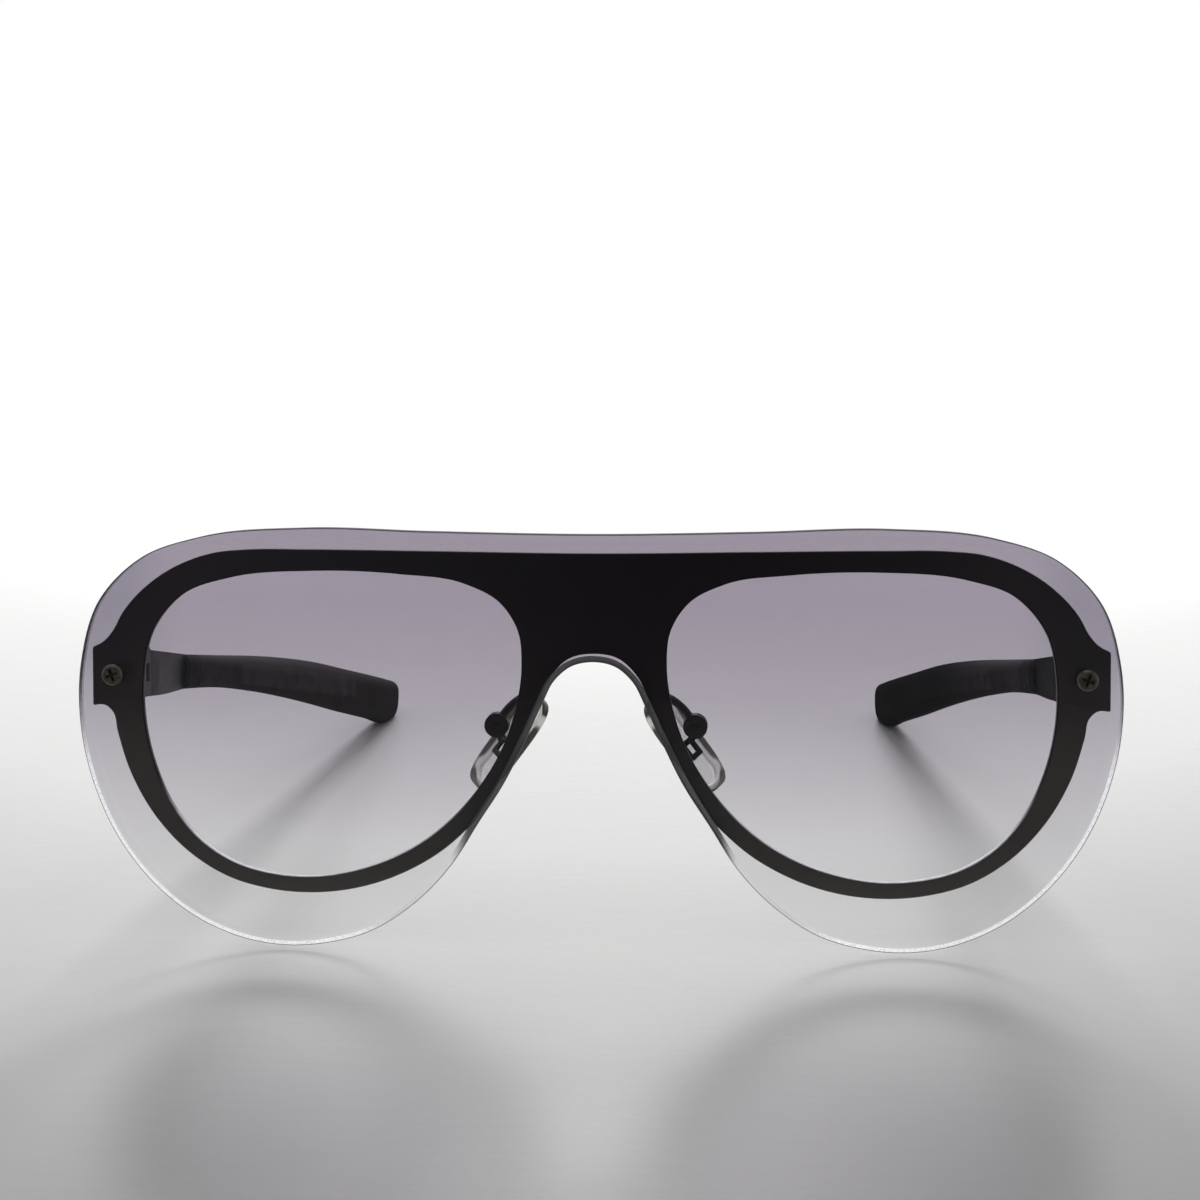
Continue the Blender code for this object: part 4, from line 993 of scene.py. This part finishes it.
@dataclass(frozen=True)
class FrontPlate:
    """The black plate behind the lens, with two windows and a tab at each side for the screw."""

    top: Pairs = (
        (0.0, 56.15), (23.3, 56.4), (41.2, 56.55), (49.1, 56.5), (54.45, 55.95), (61.7, 53.0), (67.75, 47.4),
        (69.5, 44.4), (70.5, 43.3), (72.35, 42.3),
    )
    lower: Pairs = (
        (72.45, 33.8), (70.6, 33.9), (69.55, 33.0), (68.9, 30.2), (67.05, 24.2), (63.5, 17.9), (58.65, 12.8),
        (52.85, 9.3), (46.45, 7.6), (40.25, 7.25), (33.8, 8.1), (27.75, 10.15), (22.05, 13.4), (17.05, 17.85),
    )
    notch: Pairs = (
        (17.05, 17.85), (13.2, 24.1), (10.35, 29.8), (7.75, 35.45), (6.1, 38.8), (3.3, 41.4), (0.0, 42.0),
    )
    window: Pairs = (
        (10.25, 40.4), (10.8, 45.3), (13.35, 49.2), (18.45, 51.85), (27.4, 53.1), (40.05, 53.5), (52.2, 52.4),
        (58.85, 50.05), (63.4, 44.7), (64.85, 37.85), (64.7, 31.25), (63.3, 25.1), (60.75, 19.4),
        (56.8, 14.65), (51.65, 11.45), (45.9, 9.95), (40.2, 9.7), (34.65, 10.6), (29.3, 12.4),
        (24.15, 15.25), (19.9, 18.8), (15.45, 24.25), (12.6, 29.55), (10.95, 34.85),
    )
    middle: Pair = (38.0, 40.0)
    back: float = 2.3
    thickness: float = 1.0
    spacing: float = 0.3
    corner: float = 0.22
    section: tuple[tuple[str, float, float], ...] = (
        ("window", 0.0, 0.88), ("window", 0.0, 0.2), ("window", 0.05, 0.06), ("window", 0.18, 0.0),
        ("window", 0.5, 0.0), ("outer", 0.4, 0.0), ("outer", 0.1, 0.0), ("outer", 0.03, 0.04),
        ("outer", 0.0, 0.12), ("outer", 0.0, 0.88), ("outer", 0.03, 0.96), ("outer", 0.1, 1.0),
        ("outer", 0.4, 1.0), ("window", 0.4, 1.0), ("window", 0.1, 1.0), ("window", 0.03, 0.96),
    )
    steps: int = 16
    seam: int = 40
    crease: float = 50.0

    def outer_half(self) -> tuple[Array, Array]:
        """Points and inward normals of the right half's outline, from the top middle round to x = 0 again."""
        over = smooth_curve([*mirror_points(self.top[1:]), *self.top], self.steps)
        under = smooth_curve(self.lower, self.steps)[:-1]
        notch = smooth_curve([*self.notch, *mirror_points(self.notch[:-1])], self.steps)
        loop = np.concatenate([over, under, notch, under[::-1] * (-1, 1)])
        start = int(np.argmin(np.abs(over[:, 0])))
        loop = np.roll(loop, -start, 0)
        length = float(np.linalg.norm(np.diff(loop, axis=0), axis=1).sum())
        half = int(length / self.spacing / 2)
        loop = softened(evenly(loop, 2 * half, closed=True), self.corner)
        normals = inward_normals(loop)
        right, facing = loop[:half + 1].copy(), normals[:half + 1].copy()
        right[[0, -1], 0] = 0.0
        facing[[0, -1]] = ((0.0, -1.0), (0.0, 1.0))
        last = max(depth for name, depth, _ in self.section if name == "outer")
        rise = np.linspace(right[-1, 1] + last, right[0, 1] - last, self.seam)
        line = np.stack([0 * rise, rise], 1)
        return np.concatenate([right, line]), np.concatenate([facing, 0 * line])

    def surface(self) -> Surface:
        """The plate as a ring round the right window, mirrored.

        A point of the outer outline and the window's point at the same angle about the lobe's middle make one
        section: out over the window's rounded edge, along the front face, round the outer edge and back.

        Returns:
            The plate's surface. Its outer wall is in the second material slot, the windows' in the third.
        """
        outer, outer_in = self.outer_half()
        window = smooth_curve(self.window, self.steps, closed=True)
        window_out = -inward_normals(window)
        angle = np.arctan2(window[:, 1] - self.middle[1], window[:, 0] - self.middle[0])
        order = np.argsort(angle)
        wanted = np.arctan2(outer[:, 1] - self.middle[1], outer[:, 0] - self.middle[0])
        near = [np.interp(wanted, angle[order], value[order], period=2 * math.pi)
                for value in (window[:, 0], window[:, 1], window_out[:, 0], window_out[:, 1])]
        inner, inner_out = np.stack(near[:2], 1), np.stack(near[2:], 1)
        rings = {"window": (inner, inner_out), "outer": (outer, outer_in)}
        flat = np.stack([rings[name][0] + inset * rings[name][1] for name, inset, _ in self.section])
        depth = np.array([depth for _, _, depth in self.section])[:, None] * self.thickness
        depth = np.broadcast_to(depth, flat.shape[:2])
        points = bent(flat[..., 0], flat[..., 1], depth, self.back).reshape(-1, 3)
        count, stations = flat.shape[:2]
        faces = grid_faces(count + 1, stations, closed=True) % (count * stations)
        x = flat[..., 0].reshape(-1)
        shown = np.abs(x[faces]).max(1) > 1e-6
        # The first three steps of the section are the windows' wall, and three after the front the outer one.
        walls = np.zeros(count, int)
        walls[0:3] = 2
        walls[6:9] = 1
        marks = np.repeat(walls, stations)[shown]
        design = np.stack([flat[..., 0], depth, flat[..., 1]], -1)
        half = Surface(STANCE.front.world(points), design.reshape(-1, 3), faces[shown], marks)
        return half.joined(half.mirrored())

    def build(self, finishes: Finishes) -> None:
        """Makes the plate and sets it in place of its node."""
        slots = [finishes.plate, finishes.plate_edge, finishes.window_edge_painted_highlight]
        settle(write_mesh("plate", self.surface(), slots, self.crease), "front", "front_plate")


# Small hardware


@dataclass(frozen=True)
class Hardware:
    """A small hard piece that keeps its node's shape and gets soft edges."""

    node: str
    body: str
    slot: str
    round_off: float = 0.06
    crease: float = 34.0
    reach: float = 0.004
    flat: float = 1.0

    def build(self, finishes: Finishes) -> None:
        """Merges a copy of the node's mesh, joins its flat faces and bevels edges past the crease angle."""
        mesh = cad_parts[self.node].data.copy()
        mesh.name = f"{self.node}_dressed"
        tidy_mesh(mesh, self.reach, self.crease, self.flat)
        piece = add_object(mesh.name, mesh, [getattr(finishes, self.slot)])
        bevel = piece.modifiers.new("soft edges", "BEVEL")
        bevel.limit_method = "ANGLE"
        bevel.angle_limit = math.radians(self.crease)
        bevel.width = self.round_off * MM
        bevel.segments = 2
        bevel.use_clamp_overlap = True
        settle(piece, self.body, self.node)


@dataclass(frozen=True)
class LensScrew:
    """The crosshead screw through the tab, with a domed head that is finely ringed."""

    side: Side
    head_radius: float = 1.53
    head_height: float = 0.6
    head_gap: float = 0.15
    shank_radius: float = 0.7
    length: float = 5.9
    cross: Triple = (1.8, 0.42, 0.4)
    cross_turn: float = math.radians(20.0)
    sides: int = 72
    crease: float = 30.0

    def profile(self) -> Array:
        """Radius and height of the outline: domed head, groove near the rim, under-head and pointed shank."""
        r, h = self.head_radius, self.head_height
        turn = np.linspace(0, math.pi / 2, 10)
        dome = np.stack([r * 0.82 * np.sin(turn), h * (0.86 + 0.14 * np.cos(turn))], 1)
        return np.concatenate([dome, [
            (0.86 * r, 0.80 * h), (0.90 * r, 0.80 * h), (0.95 * r, 0.74 * h), (r, 0.52 * h), (r, 0.05 * h),
            (0.98 * r, 0.0), (self.shank_radius, 0.0), (self.shank_radius, 0.3 - self.length),
            (self.shank_radius - 0.3, -self.length),
        ]])

    def surface(self) -> Surface:
        """The profile turned round the screw's own axis, which runs back from the head."""
        profile = self.profile()[1:]
        turn = np.arange(self.sides) * 2 * math.pi / self.sides
        x = profile[:, :1] * np.cos(turn)
        z = profile[:, :1] * np.sin(turn)
        y = np.broadcast_to(-self.head_gap - profile[:, 1:], x.shape)
        return lofted(np.stack([x, y, z], -1), STANCE.end).on(self.side)

    def cutter(self, long: float, short: float, finishes: Finishes) -> Piece:
        """A block that cuts one arm of the cross, and leaves the recess's finish there."""
        shape = bmesh.new()
        bmesh.ops.create_cube(shape, size=1.0)
        front = -self.head_gap - self.head_height
        mesh = bpy.data.meshes.new("cross_cutter")
        shape.to_mesh(mesh)
        shape.free()
        deep = 1.0 + self.cross[2]
        place = STANCE.end.matrix @ Matrix.Rotation(self.cross_turn, 4, "Y")
        place = place @ Matrix.Translation((0, front - 1.0 + deep / 2, 0))
        mesh.transform(Matrix.Scale(MM, 4) @ place @ Matrix.Diagonal((long, deep, short, 1)))
        if self.side is Side.LEFT:
            mesh.transform(Matrix.Diagonal((-1, 1, 1, 1)))
            mesh.flip_normals()
        made = add_object("cross_cutter", mesh, [finishes.screw, finishes.recess])
        mesh.polygons.foreach_set("material_index", np.ones(len(mesh.polygons), np.int32))
        return made

    def build(self, finishes: Finishes) -> None:
        """Makes the screw and cuts its cross, in place of its node."""
        name = f"lens_screw_{self.side.word}_dressed"
        piece = write_mesh(name, self.surface(), [finishes.screw, finishes.recess], self.crease)
        long, short, _ = self.cross
        cutters = [self.cutter(long, short, finishes), self.cutter(short, long, finishes)]
        for cutter in cutters:
            cut = piece.modifiers.new("cross", "BOOLEAN")
            cut.operation = "DIFFERENCE"
            cut.solver = "EXACT"
            cut.object = cutter
        bake_modifiers(piece)
        for cutter in cutters:
            bpy.data.objects.remove(cutter)
        piece.data.set_sharp_from_angle(angle=math.radians(self.crease))
        settle(piece, "front", f"lens_screw_{self.side.word}")


def bake_modifiers(piece: Piece) -> None:
    """Puts the shape that the modifiers give into the piece's own mesh, and takes them off."""
    graph = bpy.context.evaluated_depsgraph_get()
    mesh = bpy.data.meshes.new_from_object(piece.evaluated_get(graph))
    piece.modifiers.clear()
    old = piece.data
    piece.data = mesh
    bpy.data.meshes.remove(old)


# Temples


@dataclass(frozen=True)
class TempleSleeve:
    """The moulded sleeve on a temple: ribs at its mouth, an even run, a thick paddle and a rounded tip.

    Attributes:
        start: Where it starts behind the hinge, and all the runs with it.
        middle: How far its middle lies from the hinge's plane.
        lip: How far its mouth reaches forward of the start, towards the arm's shoulder.
        mouth: How much smaller the mouth's two rings are.
        gap: The wall's rings start this far behind the start.
        dome: How far the tip's two last rings lie past the end, which shrink to the dome's shares.
        packing: How much closer the rings lie towards the tip.
        socket: Half the width, half the height and the depth of the hole for the arm's tail.
    """

    side: Side
    start: float = 19.5
    middle: float = 2.2
    top: Pairs = (
        (19.5, 3.5), (33.0, 4.1), (50.0, 4.9), (75.0, 5.35), (95.0, 4.85), (112.0, 4.35), (119.0, 4.1),
        (124.5, 3.65), (126.6, 3.0), (127.2, 1.7),
    )
    bottom: Pairs = (
        (19.5, -1.85), (33.0, -1.05), (50.0, -1.0), (75.0, -1.9), (95.0, -3.1), (112.0, -3.95),
        (118.9, -4.4), (123.0, -3.6), (126.0, -1.6), (127.2, 0.6),
    )
    half_thickness: Pairs = (
        (19.5, 1.9), (33.0, 2.0), (60.0, 2.15), (95.0, 2.2), (119.0, 2.0), (125.0, 1.5), (127.2, 0.7),
    )
    roundness: float = 3.2
    sides: int = 72
    rings: int = 230
    ribs: int = 4
    rib_pitch: float = 0.9
    rib_depth: float = 0.22
    rib_rings: int = 60
    groove_edge: float = 0.12
    lip: float = 0.24
    lip_round: float = 0.06
    mouth: Pair = (0.25, 0.08)
    gap: float = 0.3
    dome: Pair = (0.12, 0.18)
    dome_shares: Pair = (0.7, 0.35)
    packing: float = 1.6
    socket: Triple = (1.0, 1.4, 5.0)
    socket_roundness: float = 12.0
    tail_height: float = 0.75
    crease: float = 45.0

    def drawn_in(self, along: Array) -> Array:
        """How far the ribs draw the section in: a smooth groove after each land, one for each pitch."""
        share = (along - self.start) / self.rib_pitch
        part = share % 1.0
        edge = self.groove_edge
        groove = np.clip((part - 0.5) / edge, 0, 1) * np.clip((1.0 - part) / edge, 0, 1)
        groove = groove * groove * (3 - 2 * groove)
        return np.where(share < self.ribs, self.rib_depth * groove, 0.0)

    def surface(self) -> Surface:
        """Superellipse rings along the temple.

        Their height runs between the top and bottom runs, and their width follows its own run. A small
        rounded lip reaches to the arm's shoulder, a dome ends the tip, and points below the table's top are
        lifted onto it.

        Returns:
            The sleeve's surface, with its socket.
        """
        end = self.top[-1][0]
        smooth = self.start + self.ribs * self.rib_pitch
        ribbed = np.linspace(self.start, smooth, self.rib_rings, endpoint=False)
        ease = 1 - (1 - np.linspace(0, 1, self.rings)) ** self.packing
        along = np.concatenate([ribbed, smooth + (end - smooth) * ease])
        drawn = self.drawn_in(along)
        top, bottom = run_value(self.top, along), run_value(self.bottom, along)
        wide = run_value(self.half_thickness, along) - drawn
        centre, tall = (top + bottom) / 2, (top - bottom) / 2 - drawn
        section = superellipse(self.sides, self.roundness)
        rings = self._rings(section, along, wide, centre, tall)
        inset, shares = self.mouth, self.dome_shares
        mouth = self._rings(section, along[:2], wide[:2] - inset, centre[:2], tall[:2] - inset)
        mouth[:, :, 1] = self.start - self.lip + np.array([[0.0], [self.lip_round]])
        rings[0, :, 1] = self.start + inset[0]
        rings = rings[np.concatenate([[True], along[1:] > self.start + self.gap])]
        ends = end + np.array(self.dome)
        tip = self._rings(section, ends, wide[-1:] * shares, centre[[-1, -1]], tall[-1:] * shares)
        half_wide, half_tall, deep = self.socket
        ends = np.array([self.start + deep, self.start - self.lip])
        socket = self._rings(superellipse(self.sides, self.socket_roundness), ends, np.full(2, half_wide),
                             np.full(2, self.tail_height), np.full(2, half_tall))
        made = lofted(np.concatenate([socket, mouth, rings, tip]), STANCE.line)
        made.points[:, 2] = np.maximum(made.points[:, 2], 0.0)
        return made.on(self.side)

    def _rings(self, section: Array, along: Array, wide: Array, centre: Array, tall: Array) -> Array:
        """Rings of the section at these places, widths, centres and heights."""
        x = self.middle + wide[:, None] * section[None, :, 0]
        z = centre[:, None] + tall[:, None] * section[None, :, 1]
        return np.stack([x, np.broadcast_to(along[:, None], x.shape), z], -1)

    def build(self, finishes: Finishes) -> None:
        """Makes the sleeve and sets it in place of its node."""
        word = self.side.word
        piece = write_mesh(f"sleeve_{word}", self.surface(), [finishes.sleeve], self.crease)
        settle(piece, f"temple_{word}", f"temple_sleeve_{word}")


# Nose pads


@dataclass(frozen=True)
class NosePad:
    """A clear pad: a crowned face, a rounded rim and a dish at the back where the insert lies."""

    side: Side
    half_length: float = 8.0
    half_width: float = 3.4
    roundness: float = 3.7
    crown: float = 1.3
    rim_height: float = 1.0
    rim_width: float = 0.75
    dish_slope: float = 0.4
    dish_floor: float = 0.1
    sides: int = 112
    crown_rings: int = 18
    rim_rings: int = 11
    crease: float = 60.0

    def surface(self) -> Surface:
        """Rings of a superellipse: a crown of half an ellipse, the rim's wall and round, and the dish."""
        turn = np.linspace(0.04, math.pi / 2, self.crown_rings)[:-1]
        rings = [(math.sin(t), 0.0, -self.crown * math.cos(t)) for t in turn]
        rings += [(1.0, 0.0, 0.0), (1.0, 0.0, 0.45 * self.rim_height)]
        bend = np.linspace(0.0, math.pi, self.rim_rings)
        half = self.rim_width / 2
        rings += [(1.0, half * (1 - math.cos(t)), self.rim_height * (0.7 + 0.3 * math.sin(t))) for t in bend]
        inner = self.rim_width + self.dish_slope
        low = self.dish_floor
        rings += [(1.0, 0.5 * (self.rim_width + inner), self.rim_height * 0.35)]
        rings += [(1.0, inner, low), (0.5, inner * 0.5, low), (0.1, 0.0, low)]
        section = superellipse(self.sides, self.roundness)
        drawn = []
        for scale, inset, rise in rings:
            y = section[:, 0] * (self.half_width * scale - inset)
            z = section[:, 1] * (self.half_length * scale - inset)
            drawn.append(np.stack([np.full(self.sides, rise), y, z], -1))
        return lofted(np.stack(drawn), STANCE.pad).on(self.side)

    def build(self, finishes: Finishes) -> None:
        """Makes the pad and sets it in place of its node."""
        word = self.side.word
        piece = write_mesh(f"silicone_pad_{word}", self.surface(), [finishes.pad], self.crease)
        settle(piece, f"pad_{word}", f"nose_pad_{word}")


# The stage


@dataclass(frozen=True)
class Lamp:
    """A soft rectangular lamp at a place in metres, turned towards its aim, which no gloss mirrors."""

    name: str
    place: Triple
    aim: Triple
    size: Pair
    power: float

    def build(self) -> None:
        """Adds the lamp to the scene."""
        data = bpy.data.lights.new(self.name, "AREA")
        data.shape = "RECTANGLE"
        data.size, data.size_y = self.size
        data.energy = self.power
        lamp = bpy.data.objects.new(self.name, data)
        lamp.location = self.place
        lamp.visible_glossy = False
        lamp.rotation_euler = (Vector(self.aim) - Vector(self.place)).to_track_quat("-Z", "Y").to_euler()
        bpy.context.scene.collection.objects.link(lamp)


@dataclass(frozen=True)
class Studio:
    """The table, the camera at the photograph's angle, and soft light from above and behind.

    Attributes:
        eye: The camera's place in millimetres.
        focal: Its focal length in pixels of the picture, which is this many pixels wide on the sensor.
        table: Half the table top's width and depth in metres, and how far back its middle lies.
        sink: How far the table top lies under zero, in metres.
        front_gloss: How bright the world is for gloss straight in front of the glasses and to the side.
        ambient: How bright the world is as light.
    """

    eye: Triple = (20.25, -377.07, 115.73)
    azimuth: float = 0.0611294
    pitch: float = 0.2062
    roll: float = 0.0084566
    focal: float = 2310.58
    picture: float = 1200.0
    sensor: float = 36.0
    table: Triple = (1.5, 0.9, -0.58)
    sink: float = 0.0002
    front_gloss: Pair = (0.10, 0.25)
    ambient: float = 0.46
    lamps: tuple[Lamp, ...] = (
        Lamp("back_light", (0.0, 0.90, 0.40), (0.0, -0.06, 0.0), (0.20, 0.16), 11.0),
        Lamp("top_light", (0.0, -0.05, 0.75), (0.0, -0.02, 0.0), (0.8, 0.8), 1.2),
    )

    def floor(self) -> None:
        """A flat table top that fades into the white behind it."""
        half_width, half_depth, back = self.table
        shape = bmesh.new()
        bmesh.ops.create_grid(shape, x_segments=2, y_segments=2, size=1.0)
        for vert in shape.verts:
            vert.co = (vert.co.x * half_width, vert.co.y * half_depth + back, -self.sink)
        mesh = bpy.data.meshes.new("table_top")
        shape.to_mesh(mesh)
        shape.free()
        add_object("table_top", mesh, [BrushedFloor().material()])

    def camera(self) -> None:
        """The camera: forward from azimuth and pitch, then turned by the roll."""
        sine, level = math.sin(self.azimuth), math.cos(self.pitch)
        forward = Vector((-sine * level, math.cos(self.azimuth) * level, -math.sin(self.pitch)))
        right = Vector((math.cos(self.azimuth), math.sin(self.azimuth), 0.0))
        down = forward.cross(right)
        across = math.cos(self.roll) * right + math.sin(self.roll) * down
        low = -math.sin(self.roll) * right + math.cos(self.roll) * down
        data = bpy.data.cameras.new("camera")
        data.sensor_width = self.sensor
        data.lens = self.focal / self.picture * self.sensor
        data.clip_start = 0.01
        data.clip_end = 10.0
        camera = bpy.data.objects.new("camera", data)
        turn = Matrix((across, -low, -forward)).transposed().to_4x4()
        camera.matrix_world = Matrix.Translation(Vector(self.eye) * MM) @ turn
        bpy.context.scene.collection.objects.link(camera)
        bpy.context.scene.camera = camera

    def world(self) -> None:
        """White behind for the camera and gloss, darker towards the viewer, and grey for light."""
        graph = Graph("studio", "World")
        seen, through, mirrored = (graph.node("ShaderNodeLightPath", output=f"Is {ray} Ray")
                                   for ray in ("Camera", "Transmission", "Glossy"))
        aside, back, up = (graph.axis(axis, "Generated") for axis in "XYZ")
        smooth = {"interpolation_type": "SMOOTHSTEP"}
        low, high = self.front_gloss
        ends = {"Value": aside.size(), "From Max": 0.35, "To Min": low, "To Max": high}
        front = graph.node("ShaderNodeMapRange", smooth, ends)
        ends = {"Value": back, "From Min": -0.35, "From Max": 0.35, "To Min": front}
        around = graph.node("ShaderNodeMapRange", smooth, ends).most(up.rise(0.7, 0.95))
        clear = seen.most(through)
        level = graph.node("ShaderNodeMix", None, {0: clear, 2: around, 3: 1.0})
        strength = graph.node("ShaderNodeMix", None, {0: clear.most(mirrored), 2: self.ambient, 3: level})
        white = {"Color": (1.0, 1.0, 1.0, 1.0), "Strength": strength}
        bpy.context.scene.world = graph.finish(graph.node("ShaderNodeBackground", None, white))

    def build(self) -> None:
        """Sets up the floor, the camera, the world and the lamps."""
        self.floor()
        self.camera()
        self.world()
        for lamp in self.lamps:
            lamp.build()
        bpy.context.scene.view_settings.view_transform = "Standard"


@dataclass(frozen=True)
class Sunglasses:
    """The whole pair, sub-assembly by sub-assembly."""

    finishes: Finishes = field(default_factory=Finishes)

    def hardware(self, side: Side) -> list[Hardware]:
        """The small pieces of one side."""
        word = side.word
        temple, pad = f"temple_{word}", f"pad_{word}"
        return [
            Hardware(f"lens_bush_{word}", "front", "nylon", 0.04),
            Hardware(f"end_piece_{word}", "front", "metal", 0.08),
            Hardware(f"hinge_screw_{word}", "front", "screw", 0.03),
            Hardware(f"pad_arm_{word}", "front", "plate", 0.05, 50.0),
            Hardware(f"pad_screw_{word}", "front", "screw", 0.03),
            Hardware(f"temple_arm_{word}", temple, "metal", 0.12),
            Hardware(f"temple_leaf_{word}", temple, "metal", 0.06),
            Hardware(f"pad_insert_{word}", pad, "metal", 0.05, 50.0),
        ]

    def build(self) -> None:
        """Builds the front, then each side's hardware, temple and pad."""
        pieces = [ShieldLens(), FrontPlate()]
        for side in Side:
            pieces += [LensScrew(side), TempleSleeve(side), NosePad(side), *self.hardware(side)]
        for piece in pieces:
            piece.build(self.finishes)


def main() -> None:
    """Builds the glasses and their stage, and writes the two boxes."""
    logging.basicConfig(level=logging.INFO, format="%(name)s: %(message)s")
    Sunglasses().build()
    Studio().build()
    bpy.context.view_layer.update()


if __name__ == "__main__":
    main()
